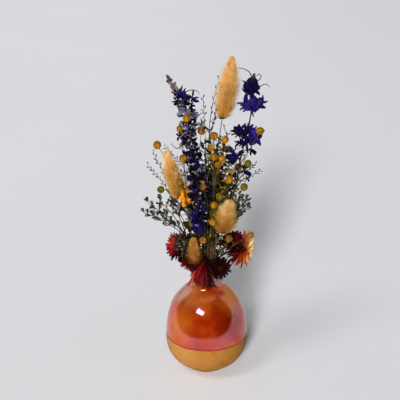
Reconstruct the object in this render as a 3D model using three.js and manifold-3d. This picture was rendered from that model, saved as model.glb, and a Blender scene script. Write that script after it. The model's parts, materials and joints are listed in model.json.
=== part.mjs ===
// A dried flower bouquet in a small round stoneware vase.
// Millimetres, +Z up. The origin is the middle of the vase's flat foot, and -Y faces the viewer.
import * as THREE from 'three';
import { mergeVertices } from 'three/addons/utils/BufferGeometryUtils.js';
import Module from 'manifold-3d';

const wasm = await Module();
wasm.setup();

// Vase: radius and height pairs go up the outside of its belly.
const VASE = {
  footRadius: 15.6,
  belly: [
    [17.3, 1.2], [22.4, 4.8], [30.1, 11.5], [35.1, 20], [36.9, 29], [36.5, 37], [35.6, 47.5],
    [33.4, 57.5], [29.9, 66.2], [24.3, 73.8], [18.6, 79.4], [15.4, 82.3], [14.2, 85.5], [14, 89],
  ],
  bellySteps: 13,
  hollowSteps: 6,
  neckTop: 97,
  rim: 102,
  lipMiddle: 12.5,
  lipHalf: 2.1,
  boreRadius: 10.4,
  wall: 3.6,
  floor: 5.5,
  segments: 28,
};

// Stems stand on the vase's floor and pass the neck in slots on rings about its axis.
const NECK = { slotGap: 2.9, footSpread: 1.4, foot: 6.2, low: 80, lip: 103.5 };

// Free space between pieces of different plants.
const GAP = 0.75;
const GOLDEN_TURN = THREE.MathUtils.degToRad(137.508);

const TAIL_STEM = 0.95;
const FLOWER_STEM = 1;
const SPIKE_STEM = 1.05;
const TWIG = 0.5;
const SPRAY_STEM = 0.7;

// Gap between a head and the stem or disc that stands against it.
const SEAT_GAP = 0.35;

// Bunny tails: tufts across the plume, the height of a row, and how deep the skin falls between.
const TUFT = { across: 12, rowHeight: 3, valley: 0.68, rise: 2 };

// Rows of a strawflower's bracts, from the outermost in. Lengths are shares of the head's radius.
const BRACT_ROWS = [
  { count: 11, reach: 1, notch: 0.5, tilt: 0, lift: -0.06 },
  { count: 10, reach: 0.86, notch: 0.52, tilt: 0.42, lift: 0 },
  { count: 8, reach: 0.62, notch: 0.6, tilt: 0.9, lift: 0.05 },
];
const DISC = { radius: 0.2, sides: 10, relief: 0.12 };

// Statice funnels, and a flax pod as radius and height pairs of a unit pod.
const FUNNEL = { radius: 3.8, perTwig: 3 };
const POD = {
  radius: 3.5,
  sides: 6,
  forkSteps: 3,
  outline: [[0, -0.95], [0.75, -0.6], [1, 0.05], [0.6, 0.72], [0, 1.35]],
  shifts: [
    [0, 0, 0], [0, -4, -1.5], [0, 4, 1.5], [3, 0, 0], [-3, 0, 0], [0, -8, -3], [0, 8, 3],
    [4, -5, -2], [-4, -5, -2], [0, 0, 5], [5, 5, 3], [-5, 5, 3],
  ],
};
const SEEDS = { perArm: 6, from: 0.42, length: 3.8, width: 1.7, thickness: 1.4 };
const LEAVES = { perArm: 6, from: 0.3, length: 8.5, width: 2.4, thickness: 1.1 };

// Ways a twig may bow at its middle, over x and y.
const BOWS = [
  [0, 0], [0, -3], [0, 3], [3, 0], [-3, 0], [0, -6], [0, 6], [5, -3], [-5, -3], [5, 4], [-5, 4],
];

const COLOUR = {
  stoneware: 0xb8763a,
  straw: 0xb79a55,
  tail: 0xd9a359,
  greenStem: 0x5d6230,
  larkspur: 0x35287f,
  crimson: 0x8c0a22,
  maroon: 0x45060f,
  rust: 0xb0440f,
  orange: 0xeb960a,
  disc: 0xe0b050,
  pod: 0xd8a020,
  statice: 0x7a6a72,
  seed: 0x4c4834,
  olive: 0x57512a,
};

// Heads of the bunny tail grasses, from the foot of the head to its tip. Their sides run straighter
// the lower their fullness is.
const TAILS = [
  {
    name: 'tall', slot: [1, 0], via: [[5, 2, 150], [8.6, 3.6, 200]],
    base: [12.6, 4, 233.2], tip: [20.7, 4, 285.5], radius: 7.4, fullness: 0.7,
  },
  {
    name: 'left', slot: [2, 210], via: [[-10, -8, 132], [-18, -11, 155]],
    base: [-23.7, -12.5, 168.2], tip: [-34.4, -16, 210.5], radius: 7.8, fullness: 0.9,
  },
  {
    name: 'right', slot: [2, 300], via: [[7, -14, 124]],
    base: [13.8, -24, 141], tip: [20.2, -26, 170.8], radius: 8.4, fullness: 0.6,
  },
  {
    name: 'front', slot: [2, 270], via: [[-2.6, -14, 115], [-6.6, -27, 114]],
    base: [-9.5, -33.5, 116.6], tip: [-11.5, -37.5, 141.2], radius: 5.4, fullness: 0.5,
  },
];

// Larkspur spikes: blooms are placed by hand where they stand apart, and by a rule elsewhere.
const LARKSPURS = [
  {
    name: 'left', slot: [1, 180],
    via: [
      [-3, -4, 140], [-3.4, -8, 172], [-9.3, -7, 191], [-13.5, -5, 208], [-16.6, -3, 217],
      [-15.4, -1.5, 231], [-17.5, 0, 243], [-24.1, 2, 256.3], [-33, 2, 269],
    ],
    rule: { from: 172, to: 254, count: 16, radius: 7.4, topRadius: 5.2, reach: 4 },
    blooms: [],
    budsAbove: 254,
    buds: 7,
  },
  {
    name: 'centre', slot: [1, 240],
    via: [[-4, -16, 130], [-7.4, -25, 150], [-6.8, -24, 171], [-9, -22, 195]],
    rule: { from: 156, to: 191, count: 8, radius: 7.6, topRadius: 5.8, reach: 3.4 },
    blooms: [{ at: [-8.4, -30, 152], face: [-0.1, -0.9, -0.2], radius: 7 }],
    budsAbove: 189,
    buds: 3,
  },
  {
    name: 'right', slot: [2, 0],
    via: [
      [14, 0, 145], [24.5, 2, 172], [27.6, 4, 192], [30.8, 5, 207], [34.7, 6, 224.5],
      [37.1, 7, 237], [37.4, 8, 262],
    ],
    rule: null,
    blooms: [
      { at: [37.2, 5, 260], face: [0, -0.6, 0.8], radius: 10.5 },
      { at: [30, 3, 246], face: [-0.5, -0.6, -0.3], radius: 9 },
      { at: [43, 4, 246], face: [0.5, -0.6, -0.3], radius: 9.5 },
      { at: [26.5, 2, 219], face: [-0.5, -0.7, 0.3], radius: 9.5 },
      { at: [39.5, 3, 217], face: [0.7, -0.6, 0.2], radius: 10 },
      { at: [32, -2, 211], face: [0, -0.9, 0.1], radius: 8 },
      { at: [36, 13, 221], face: [0.3, 0.85, 0.3], radius: 8.5 },
      { at: [24, 0, 201], face: [-0.6, -0.7, 0.2], radius: 8 },
      { at: [33.5, 1, 186], face: [0.7, -0.6, 0.1], radius: 7.5 },
    ],
    budsAbove: 262,
    buds: 3,
  },
];

// Strawflowers: the middle of the head, the way it faces and its radius over the bracts.
const STRAWFLOWERS = [
  {
    name: 'left', slot: [3, 200], via: [[-14, -10, 116]],
    at: [-23.8, -23, 127.8], face: [-0.62, -0.72, 0.25], radius: 13.6, rows: 3, colour: COLOUR.crimson,
  },
  {
    name: 'lower_left', slot: [3, 240], via: [[-8.5, -14.5, 108.5]],
    at: [-14.6, -23.5, 112.5], face: [-0.3, -0.85, -0.35], radius: 9.5, rows: 2, colour: COLOUR.maroon,
  },
  {
    name: 'centre', slot: [3, 260], via: [[-2, -14.5, 108]],
    at: [-1.6, -23.5, 107], face: [0, -0.88, -0.45], radius: 13, rows: 3, colour: COLOUR.crimson,
  },
  {
    name: 'lower_right', slot: [3, 300], via: [[7.5, -13.5, 108]],
    at: [12.7, -22.5, 106.3], face: [0.35, -0.85, -0.3], radius: 10.5, rows: 2, colour: COLOUR.maroon,
  },
  {
    name: 'right', slot: [3, 0], via: [[15, -1, 111]],
    at: [31, -5, 116.5], face: [0.96, -0.22, 0.12], radius: 17, rows: 3, colour: COLOUR.rust,
  },
  {
    name: 'right_back', slot: [3, 340], via: [[14, -6, 119]],
    at: [22.3, -11, 126], face: [0.1, -0.4, 0.9], radius: 10.5, rows: 2, colour: COLOUR.maroon,
  },
  {
    name: 'orange', slot: [2, 150], via: [[-9, 5, 135]],
    at: [-16, 5, 162.4], face: [-0.72, -0.62, 0.25], radius: 10.5, rows: 2, colour: COLOUR.orange,
  },
];

// Flax sprays: a stem, and the places of its pods.
const FLAX = [
  {
    name: 'left', slot: [2, 180], via: [[-13, 8, 140], [-26, 13, 172]],
    pods: [[-42.6, 10, 208.4], [-39.9, 3, 170.4]],
  },
  {
    name: 'upper_left', slot: [1, 120], via: [[-4, 8, 155], [-8, 10, 195]],
    pods: [[-11.9, 12, 218], [-4.6, 14, 219.7]],
  },
  {
    name: 'middle', slot: [1, 300], via: [[4, -10, 145], [6, -12.5, 182]],
    pods: [
      [5.7, -10, 221.9], [14.9, -8, 218.3], [3.2, -14, 212.7], [5.7, -18.5, 206.3],
      [12.8, -16, 203.3], [9, -20, 199.8],
    ],
  },
  {
    name: 'right', slot: [2, 330], via: [[13, -8, 142], [22, -10, 167]],
    pods: [[43.9, -8, 225.6], [34.3, -12, 198.6], [31.1, -16, 179.2], [18.6, -20, 187.2]],
  },
  {
    name: 'front', slot: [3, 280], via: [[2.6, -16.5, 124], [2.6, -27, 140]],
    pods: [[5.7, -31, 168.6], [4.9, -34.5, 154.9], [-3.6, -40, 140.8], [-3.4, -33, 185]],
  },
  {
    name: 'left_front', slot: [3, 220], via: [[-10.5, -13.5, 124], [-15.5, -20, 150], [-18, -20, 172]],
    pods: [[-20, -16, 204.2], [-22.6, -25, 186.7], [-17, -10, 236.7], [-22.5, -8, 227.6]],
  },
  {
    name: 'right_low', slot: [3, 320], via: [[12.5, -20.5, 119]],
    pods: [[18.3, -36, 140.7], [36.9, -24, 139]],
  },
  {
    name: 'back', slot: [3, 60], via: [[8, 17, 130], [12, 22, 165]],
    pods: [[18, 26, 200], [28, 24, 184], [6, 30, 190], [12, 34, 172]],
  },
];

// Statice sprays: a stem, then twigs that end in clusters of calyxes.
const STATICE = [
  {
    name: 'left', slot: [3, 180], via: [[-15, -2.5, 124], [-25, -5, 139]],
    twigs: [[-52, -4, 151], [-47.5, -3, 157], [-40, 0, 160], [-30, 0, 158], [-36, -9, 149.5]],
  },
  {
    name: 'right', slot: [3, 20], via: [[15, 3, 124], [23, -1, 143]],
    twigs: [[24.5, -8, 159.5], [27, -8, 166], [33, -6, 164], [34.5, -6, 157]],
  },
  {
    name: 'front', slot: [2, 240], via: [[-8, -14, 119.5], [-15.5, -29, 124.5]],
    twigs: [[-27, -37, 141], [-22.5, -39, 142], [-18.5, -38, 137], [-26, -37, 131.5], [-20, -40, 128.5]],
  },
  {
    name: 'back', slot: [3, 100], via: [[-4, 20, 128], [-5, 27, 145]],
    twigs: [[-22, 30, 164], [-6, 33, 176], [8, 36, 158], [-14, 38, 150], [-30, 24, 150]],
  },
];

// Wispy seed grasses: thin arms that carry small alternate seeds over their last stretch.
const GRASSES = [
  {
    name: 'left', slot: [3, 160], via: [[-16, 4, 132], [-28, 6, 155]],
    arms: [[-50.5, 6, 191], [-46, 11, 201]],
  },
  {
    name: 'left_back', slot: [2, 120], via: [[-6, 11, 140], [-13, 13, 172]],
    arms: [[-35.6, 12, 206], [-22, 17, 206]],
  },
  {
    name: 'tall', slot: [1, 60], via: [[2, 8, 160], [1.5, 11, 205], [2.4, 12, 228]],
    arms: [[10, 14, 267], [21, 13, 238]],
  },
  {
    name: 'middle', slot: [0, 0], via: [[0.2, -0.5, 140], [-0.6, -1.5, 195]],
    arms: [[-3.4, -2, 252], [6.9, -4, 239.5]],
  },
  {
    name: 'right', slot: [2, 30], via: [[13, 7, 140], [23, 10, 168]],
    arms: [[45, 0, 188], [42, 9, 192]],
  },
];

// Twiggy olive filler with small narrow leaves.
const FILLERS = [
  {
    name: 'middle', slot: [2, 60], via: [[5, 9, 135]],
    twigs: [[0, 12, 186], [9, 13, 192], [20, 13, 182], [27, 15, 168]],
  },
  {
    name: 'left', slot: [3, 140], via: [[-11, 12, 130]],
    twigs: [[-14, 17, 182], [-26, 16, 172], [-32, 18, 160]],
  },
];

const UP = new THREE.Vector3(0, 0, 1);
const point = ([x, y, z]) => new THREE.Vector3(x, y, z);

// A number from 0 to 1 that depends on its two arguments alone.
function chance(seed, step) {
  const wave = Math.sin(seed * 127.1 + step * 311.7) * 43758.5453;
  return wave - Math.floor(wave);
}

// Closed solid of a geometry, with corners nearer than a tolerance merged and empty triangles out.
function solidOf(geometry, tolerance = 1e-4) {
  const bare = geometry.index ? geometry.toNonIndexed() : geometry.clone();
  bare.deleteAttribute('normal');
  bare.deleteAttribute('uv');
  const merged = mergeVertices(bare, tolerance);
  const corners = merged.index.array;
  const kept = [];
  for (let i = 0; i < corners.length; i += 3) {
    const [a, b, c] = [corners[i], corners[i + 1], corners[i + 2]];
    if (a !== b && b !== c && c !== a) kept.push(a, b, c);
  }
  return new wasm.Manifold(new wasm.Mesh({
    numProp: 3,
    vertProperties: new Float32Array(merged.attributes.position.array),
    triVerts: new Uint32Array(kept),
  }));
}

function largestBody(solid) {
  const mesh = solid.decompose().sort((a, b) => b.volume() - a.volume())[0].getMesh();
  const geometry = new THREE.BufferGeometry();
  geometry.setAttribute('position', new THREE.BufferAttribute(new Float32Array(mesh.vertProperties), 3));
  geometry.setIndex(new THREE.BufferAttribute(new Uint32Array(mesh.triVerts), 1));
  return geometry;
}

// Joins the geometries of one piece. Scraps that hang on nothing and sealed hollows go, also
// those that come apart when near corners merge.
function fuse(geometries) {
  let whole = solidOf(geometries[0]);
  for (const geometry of geometries.slice(1)) whole = whole.add(solidOf(geometry));
  return largestBody(solidOf(largestBody(whole), 1e-3));
}

// A route whose steps fall evenly between its points, so that long straight runs stay cheap.
class Route extends THREE.CatmullRomCurve3 {
  getUtoTmapping(u) {
    return u;
  }
}

function tube(points, radius, sides, stepsPerSpan) {
  const corners = [];
  for (let i = 0; i < sides; i += 1) {
    const turn = (i / sides) * Math.PI * 2;
    corners.push(new THREE.Vector2(Math.cos(turn) * radius, Math.sin(turn) * radius));
  }
  return new THREE.ExtrudeGeometry(new THREE.Shape(corners), {
    extrudePath: new Route(points),
    steps: (points.length - 1) * stepsPerSpan,
    bevelEnabled: false,
  });
}

// A pointed blade along +X that faces +Z, ridged and widest part way along.
function blade(length, width, thickness, widest) {
  const geometry = new THREE.OctahedronGeometry(1);
  const place = geometry.attributes.position;
  for (let i = 0; i < place.count; i += 1) {
    const x = place.getX(i);
    const along = Math.abs(x) > 0.5 ? (x + 1) / 2 : widest;
    place.setXYZ(i, along * length, (place.getY(i) * width) / 2, (place.getZ(i) * thickness) / 2);
  }
  return geometry;
}

// Puts a geometry's +X along one direction and its +Z as near as may be to another.
function put(geometry, at, along, facing) {
  const x = along.clone().normalize();
  const y = new THREE.Vector3().crossVectors(facing, x).normalize();
  const z = new THREE.Vector3().crossVectors(x, y);
  const matrix = new THREE.Matrix4().makeBasis(x, y, z).setPosition(at);
  return geometry.applyMatrix4(matrix);
}

// A direction about a head's axis: turn goes round the axis and tilt rises from its plane to it.
function about(axis, turn, tilt) {
  const level = Math.cos(tilt);
  const local = new THREE.Vector3(level * Math.cos(turn), level * Math.sin(turn), Math.sin(tilt));
  return local.applyQuaternion(new THREE.Quaternion().setFromUnitVectors(UP, axis));
}

// Outside radius of the vase at a height, and nothing above its rim.
const bellyCurve = new THREE.SplineCurve(VASE.belly.map(([r, z]) => new THREE.Vector2(r, z)));
const bellyOutside = bellyCurve.getPoints(VASE.bellySteps);

function vaseRadius(height) {
  if (height > VASE.rim + GAP) return 0;
  const above = bellyOutside.find((p) => p.y > height);
  return above ? above.x : VASE.lipMiddle + VASE.lipHalf;
}

// The room that pieces take, kept in cubes, so that a later piece can be kept clear of it.
class Room {
  constructor() {
    this.cube = 4;
    this.cubes = new Map();
  }

  key(x, y, z) {
    return `${Math.floor(x / this.cube)},${Math.floor(y / this.cube)},${Math.floor(z / this.cube)}`;
  }

  take(name, points, radius) {
    for (const p of points) {
      const key = this.key(p.x, p.y, p.z);
      if (!this.cubes.has(key)) this.cubes.set(key, []);
      this.cubes.get(key).push({ name, p, radius });
    }
  }

  near(p) {
    const found = [];
    for (let dx = -1; dx <= 1; dx += 1) {
      for (let dy = -1; dy <= 1; dy += 1) {
        for (let dz = -1; dz <= 1; dz += 1) {
          const key = this.key(p.x + dx * this.cube, p.y + dy * this.cube, p.z + dz * this.cube);
          found.push(...(this.cubes.get(key) ?? []));
        }
      }
    }
    return found;
  }

  isFree(name, points, radius) {
    return points.every((p) => {
      if (Math.hypot(p.x, p.y) < vaseRadius(p.z) + radius + GAP) return false;
      return this.near(p).every((other) => {
        return other.name === name || other.p.distanceTo(p) > other.radius + radius + GAP;
      });
    });
  }
}

const room = new Room();

// Points spread over a geometry's triangles, close enough to feel a neighbour.
function feelers(geometry) {
  const soup = geometry.index ? geometry.toNonIndexed() : geometry;
  const place = soup.attributes.position;
  const points = [];
  for (let i = 0; i < place.count; i += 3) {
    const [a, b, c] = [0, 1, 2].map((k) => new THREE.Vector3().fromBufferAttribute(place, i + k));
    points.push(a, a.clone().lerp(b, 0.5), b.clone().lerp(c, 0.5), c.clone().lerp(a, 0.5));
    points.push(a.clone().add(b).add(c).divideScalar(3));
    points.push(a.clone().lerp(b, 0.25), a.clone().lerp(b, 0.75), b.clone().lerp(c, 0.25));
  }
  return points;
}

const FEELER = 0.3;

// Adds parts of a piece if they cross no other piece, and says whether they did.
function addIfFree(name, parts, made) {
  const points = made.flatMap(feelers);
  if (!room.isFree(name, points, FEELER)) return false;
  room.take(name, points, FEELER);
  parts.push(...made);
  return true;
}

const pointsAlong = (points, step) => {
  const route = new THREE.CatmullRomCurve3(points);
  return route.getSpacedPoints(Math.max(4, Math.ceil(route.getLength() / step)));
};

// The points of a stem, from the vase's floor through its slot in the neck to its last point.
function stemPoints({ slot: [ring, turn], via }, end) {
  const angle = THREE.MathUtils.degToRad(turn);
  const x = Math.cos(angle) * ring * NECK.slotGap;
  const y = Math.sin(angle) * ring * NECK.slotGap;
  const low = [
    new THREE.Vector3(x * NECK.footSpread, y * NECK.footSpread, NECK.foot),
    new THREE.Vector3(x, y, NECK.low),
    new THREE.Vector3(x, y, NECK.lip),
  ];
  return [...low, ...via.map(point), ...(end ? [end] : [])];
}

function takeStem(name, points, radius) {
  room.take(name, pointsAlong(points, 1.2), radius);
  return points;
}

const bouquet = new THREE.Group();

function addMesh(name, geometry, colour, roughness = 0.85) {
  const material = new THREE.MeshStandardMaterial({ color: colour, roughness, metalness: 0 });
  const mesh = new THREE.Mesh(geometry, material);
  mesh.name = name;
  bouquet.add(mesh);
}

// The vase: foot, belly, neck and rounded lip outside, then down the bore and the hollow inside.
function makeVase() {
  const outside = bellyOutside.slice();
  const inside = [];
  for (let i = 0; i <= VASE.hollowSteps; i += 1) {
    const at = i / VASE.hollowSteps;
    const p = bellyCurve.getPoint(at);
    const slope = bellyCurve.getTangent(at);
    const q = new THREE.Vector2(p.x - slope.y * VASE.wall, p.y + slope.x * VASE.wall);
    if (q.y > VASE.floor + 1.5 && q.x > VASE.boreRadius) inside.push(q);
  }
  const lip = new THREE.EllipseCurve(
    VASE.lipMiddle, VASE.rim - VASE.lipHalf, VASE.lipHalf, VASE.lipHalf, 0, Math.PI,
  ).getPoints(4);
  const profile = [
    new THREE.Vector2(0, 0),
    new THREE.Vector2(VASE.footRadius, 0),
    ...outside,
    new THREE.Vector2(VASE.belly.at(-1)[0], VASE.neckTop),
    ...lip,
    new THREE.Vector2(VASE.boreRadius, NECK.low + 5),
    ...inside.reverse(),
    new THREE.Vector2(VASE.footRadius, VASE.floor),
    new THREE.Vector2(0, VASE.floor),
  ];
  const turned = new THREE.LatheGeometry(profile, VASE.segments).rotateX(Math.PI / 2);
  addMesh('vase', fuse([turned]), COLOUR.stoneware, 0.3);
}

// A bunny tail: a plume whose skin is drawn out, corner by corner, into tufts that point up it.
function makeTailHead(tail) {
  const name = `tail_head_${tail.name}`;
  const base = point(tail.base);
  const axis = point(tail.tip).sub(base);
  const length = axis.length();
  const rows = Math.round(length / TUFT.rowHeight);
  const plume = new THREE.SphereGeometry(1, TUFT.across, rows).rotateX(Math.PI / 2);
  const place = plume.attributes.position;
  for (let i = 0; i < place.count; i += 1) {
    const row = Math.round((1 - Math.acos(place.getZ(i)) / Math.PI) * rows);
    const angle = Math.atan2(place.getY(i), place.getX(i));
    const column = Math.round((angle / Math.PI / 2) * TUFT.across + TUFT.across);
    const isTuft = (row + column) % 2 === 0 && row > 0 && row < rows;
    const s = row / rows;
    const girth = tail.radius * Math.sin(Math.PI * (0.04 + 0.93 * s) ** 0.85) ** tail.fullness;
    const radius = row === 0 || row === rows ? 0 : girth * (isTuft ? 1 : TUFT.valley);
    const height = length * s + (isTuft ? TUFT.rise : 0);
    place.setXYZ(i, radius * Math.cos(angle), radius * Math.sin(angle), height);
  }
  const turn = new THREE.Quaternion().setFromUnitVectors(UP, axis.normalize());
  plume.applyQuaternion(turn).translate(base.x, base.y, base.z);
  room.take(name, feelers(plume), FEELER);
  addMesh(name, fuse([plume]), COLOUR.tail, 0.95);
}

// A petal's reach and lean: shorter or leaning away where another piece is in its way.
function clearPetal(name, at, axis, turn, lean, length, halfWidth) {
  for (const reach of [1, 0.82, 0.64, 0.48]) {
    for (const shift of [0, 0.22, -0.22]) {
      const along = about(axis, turn, lean + shift);
      const side = new THREE.Vector3().crossVectors(axis, along).normalize();
      const points = [];
      for (const s of [0.35, 0.5, 0.66, 0.82, 1]) {
        const middle = at.clone().addScaledVector(along, s * length * reach);
        const half = s < 0.9 ? halfWidth : 0;
        points.push(middle, middle.clone().addScaledVector(side, half));
        points.push(middle.clone().addScaledVector(side, -half));
      }
      if (room.isFree(name, points, FEELER)) {
        room.take(name, points, FEELER);
        return { length: length * reach, lean: lean + shift };
      }
    }
  }
  return { length: length * 0.4, lean };
}

// A whorl of petals in one closed shell: a flat double cone whose rim runs out to each tip.
// Petals with sides have four rim corners each, and pointed ones have two.
function whorl(name, at, axis, shape, seed) {
  const { count, radius, notch, side, tilt, uneven, thickness, spin } = shape;
  const corners = side ? 4 : 2;
  const petals = [];
  for (let i = 0; i < count; i += 1) {
    const turn = spin + (i / count) * Math.PI * 2;
    const lean = tilt + uneven * (chance(seed, i) - 0.5);
    const length = radius * (1 - 0.4 * uneven * chance(seed + 7, i));
    const halfWidth = (length * Math.PI) / count / 2.6;
    petals.push(clearPetal(name, at, axis, turn, lean, length, halfWidth));
  }
  const geometry = new THREE.SphereGeometry(1, count * corners, 2).rotateX(Math.PI / 2);
  const place = geometry.attributes.position;
  for (let i = 0; i < place.count; i += 1) {
    if (Math.abs(place.getZ(i)) > 0.5) {
      place.setXYZ(i, 0, 0, (Math.sign(place.getZ(i)) * thickness) / 2);
      continue;
    }
    const angle = Math.atan2(place.getY(i), place.getX(i));
    const rim = count * corners;
    const corner = (Math.round((angle / Math.PI / 2) * rim) + rim) % rim;
    const nearest = petals[Math.round(corner / corners) % count];
    const before = petals[Math.floor(corner / corners)];
    const after = petals[(Math.floor(corner / corners) + 1) % count];
    const step = corner % corners;
    const isNotch = step === corners / 2;
    const lean = isNotch ? (before.lean + after.lean) / 2 : nearest.lean;
    const out = isNotch ? Math.min(before.length, after.length) * notch : nearest.length * (step ? side : 1);
    const turn = angle + spin;
    const level = out * Math.cos(lean);
    place.setXYZ(i, level * Math.cos(turn), level * Math.sin(turn), out * Math.sin(lean));
  }
  const turned = new THREE.Quaternion().setFromUnitVectors(UP, axis);
  return geometry.applyQuaternion(turned).translate(at.x, at.y, at.z);
}

// A lathe turned about a head's axis, from radius and height pairs.
function turnAbout(outline, sides, at, axis) {
  const points = outline.map(([x, z]) => new THREE.Vector2(x, z));
  const turn = new THREE.Quaternion().setFromUnitVectors(UP, axis);
  const lathe = new THREE.LatheGeometry(points, sides).rotateX(Math.PI / 2);
  return lathe.applyQuaternion(turn).translate(at.x, at.y, at.z);
}

// A strawflower's head: rows of pointed bracts on a small cup, and its disc in the innermost row.
function makeStrawflower(flower, seed) {
  const name = `strawflower_bracts_${flower.name}`;
  const axis = point(flower.face).normalize();
  const at = point(flower.at);
  const r = flower.radius;
  const cup = [[0, -0.3 * r], [0.2 * r, -0.24 * r], [0.3 * r, 0], [0, 0.02 * r]];
  const parts = [turnAbout(cup, 6, at, axis)];
  room.take(name, feelers(parts[0]), FEELER);
  const rows = BRACT_ROWS.slice(-flower.rows);
  rows.forEach((row, layer) => {
    const middle = at.clone().addScaledVector(axis, row.lift * r);
    const shape = {
      count: row.count, radius: row.reach * r, notch: row.notch, side: 0, tilt: row.tilt,
      uneven: 0.3, thickness: 0.2 * r, spin: layer * 0.5 + seed,
    };
    parts.push(whorl(name, middle, axis, shape, seed + 11 * layer));
  });
  addMesh(name, fuse(parts), flower.colour, 0.6);

  // The disc stands in the cone of the innermost row, with a dome of coarse florets on top.
  const inner = rows.at(-1);
  const pit = inner.lift * r + 0.1 * r + SEAT_GAP;
  const rim = DISC.radius * r;
  const slope = Math.tan(inner.tilt + 0.2);
  const outline = [
    [0, pit], [rim, pit + rim * slope], [rim * 0.92, pit + rim * (slope + 0.4)],
    [rim * 0.5, pit + rim * (slope + 0.75)], [0, pit + rim * (slope + 0.8)],
  ];
  const disc = turnAbout(outline, DISC.sides, new THREE.Vector3(), UP);
  const place = disc.attributes.position;
  for (let i = 0; i < place.count; i += 1) {
    const angle = Math.atan2(place.getY(i), place.getX(i));
    const height = place.getZ(i);
    const isDome = height > pit + rim * (slope + 0.2);
    const raised = isDome ? 1 + DISC.relief * Math.cos((DISC.sides / 2) * angle) : 1;
    place.setXYZ(i, place.getX(i) * raised, place.getY(i) * raised, height);
  }
  const turn = new THREE.Quaternion().setFromUnitVectors(UP, axis);
  disc.applyQuaternion(turn).translate(at.x, at.y, at.z);
  addMesh(`strawflower_disc_${flower.name}`, fuse([disc]), COLOUR.disc, 0.9);
}

// One larkspur bloom on its stalk, which meets it under a petal: five broad, unevenly cupped petals.
function addBloom(name, parts, at, axis, radius, stalkFrom, seed) {
  const under = at.clone().addScaledVector(about(axis, seed, 0.3), 0.3 * radius);
  const sag = under.clone().lerp(stalkFrom, 0.5).addScaledVector(UP, -0.8);
  if (!addIfFree(name, parts, [tube([stalkFrom, sag, under], TWIG, 3, 1)])) return false;
  const shape = {
    count: 5, radius, notch: 0.36, side: 0.84, tilt: 0.35, uneven: 0.8, thickness: 0.24 * radius, spin: seed,
  };
  parts.push(whorl(name, at, axis, shape, seed));
  return true;
}

function makeLarkspur(spike, seed) {
  const name = `larkspur_${spike.name}`;
  const points = stemPoints(spike);
  const parts = [tube(points, SPIKE_STEM, 5, 1)];
  const track = new THREE.CatmullRomCurve3(points).getSpacedPoints(160);
  const nearer = (z) => (best, p) => (Math.abs(p.z - z) < Math.abs(best.z - z) ? p : best);
  const atHeight = (z) => track.reduce(nearer(z));
  spike.blooms.forEach((bloom, i) => {
    const at = point(bloom.at);
    const axis = point(bloom.face).normalize();
    for (const drop of [5, 9, 1]) {
      if (addBloom(name, parts, at, axis, bloom.radius, atHeight(at.z - drop), seed + i)) break;
    }
  });
  const { from, to, count, radius, topRadius, reach } = spike.rule ?? { count: 0 };
  for (let i = 0; i < count; i += 1) {
    const s = i / (count - 1);
    const root = atHeight(from + (to - from) * s);
    for (const shift of [0, 0.5, -0.5, 1, -1, 1.6, -1.6]) {
      const axis = about(UP, i * GOLDEN_TURN + seed + shift, 0.35);
      const at = root.clone().addScaledVector(axis, reach);
      const size = radius + (topRadius - radius) * s;
      if (addBloom(name, parts, at, axis, size, root, seed + i)) break;
    }
  }
  const tip = track.at(-1);
  const low = atHeight(spike.budsAbove);
  const rise = tip.clone().sub(low).normalize();
  for (let i = 0; i < spike.buds; i += 1) {
    const root = low.clone().lerp(tip, i / spike.buds);
    addIfFree(name, parts, [put(blade(5, 3, 2.6, 0.55), root, about(rise, i * GOLDEN_TURN, 0.6), UP)]);
  }
  addMesh(name, fuse(parts), COLOUR.larkspur, 0.8);
}

// Grows a thin twig that bows one way or another until it and its tip cross nothing.
// Returns points along it, or nothing where no way is free.
function growTwig(name, parts, from, to, tipParts = () => [], shifts = [[0, 0, 0]]) {
  for (const shift of shifts) {
    for (const [dx, dy] of BOWS) {
      const end = to.clone().add(point(shift));
      const middle = from.clone().lerp(end, 0.5);
      middle.x += dx - 0.12 * (end.x - from.x);
      middle.y += dy - 0.12 * (end.y - from.y);
      const points = [from, middle, end];
      const aim = end.clone().sub(middle).normalize();
      const made = [tube(points, TWIG, 3, 1), ...tipParts(end, aim)];
      if (addIfFree(name, parts, made)) return pointsAlong(points, 1);
    }
  }
  return null;
}

// A flax pod: a round capsule with a short pointed tip.
function podAt(at, aim) {
  const outline = POD.outline.map(([x, z]) => [x * POD.radius, z * POD.radius]);
  return turnAbout(outline, POD.sides, at, aim);
}

function makeFlax(spray) {
  const name = `flax_${spray.name}`;
  const points = stemPoints(spray);
  const parts = [tube(points, SPRAY_STEM, 4, 1)];
  const track = pointsAlong(points, 2);
  spray.pods.forEach((pod, i) => {
    const from = track.at(-1 - i * POD.forkSteps);
    growTwig(name, parts, from, point(pod), (end, aim) => [podAt(end, aim)], POD.shifts);
  });
  addMesh(name, fuse(parts), COLOUR.pod, 0.6);
}

// A statice spray: papery funnels stand along the last stretch of each twig, on either side of it.
function makeStatice(spray, seed) {
  const name = `statice_${spray.name}`;
  const points = stemPoints(spray);
  const parts = [tube(points, SPRAY_STEM, 4, 1)];
  const track = pointsAlong(points, 2);
  spray.twigs.forEach((twig, k) => {
    const line = growTwig(name, parts, track.at(-1 - k * 2), point(twig));
    if (!line) return;
    for (let i = 0; i < FUNNEL.perTwig; i += 1) {
      const root = line[Math.round((line.length - 1) * (0.48 + (0.52 * (i + 1)) / FUNNEL.perTwig))];
      const side = (i % 2 ? 0.9 : -0.9) + k + chance(seed, i + 9 * k);
      const axis = about(UP, side, 0.7);
      const shape = {
        count: 3, radius: FUNNEL.radius, notch: 0.6, side: 0, tilt: 0.7, uneven: 0.4,
        thickness: 1.6, spin: i,
      };
      parts.push(whorl(name, root.clone().addScaledVector(axis, 0.6), axis, shape, seed + i));
    }
  });
  addMesh(name, fuse(parts), COLOUR.statice, 0.9);
}

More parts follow.
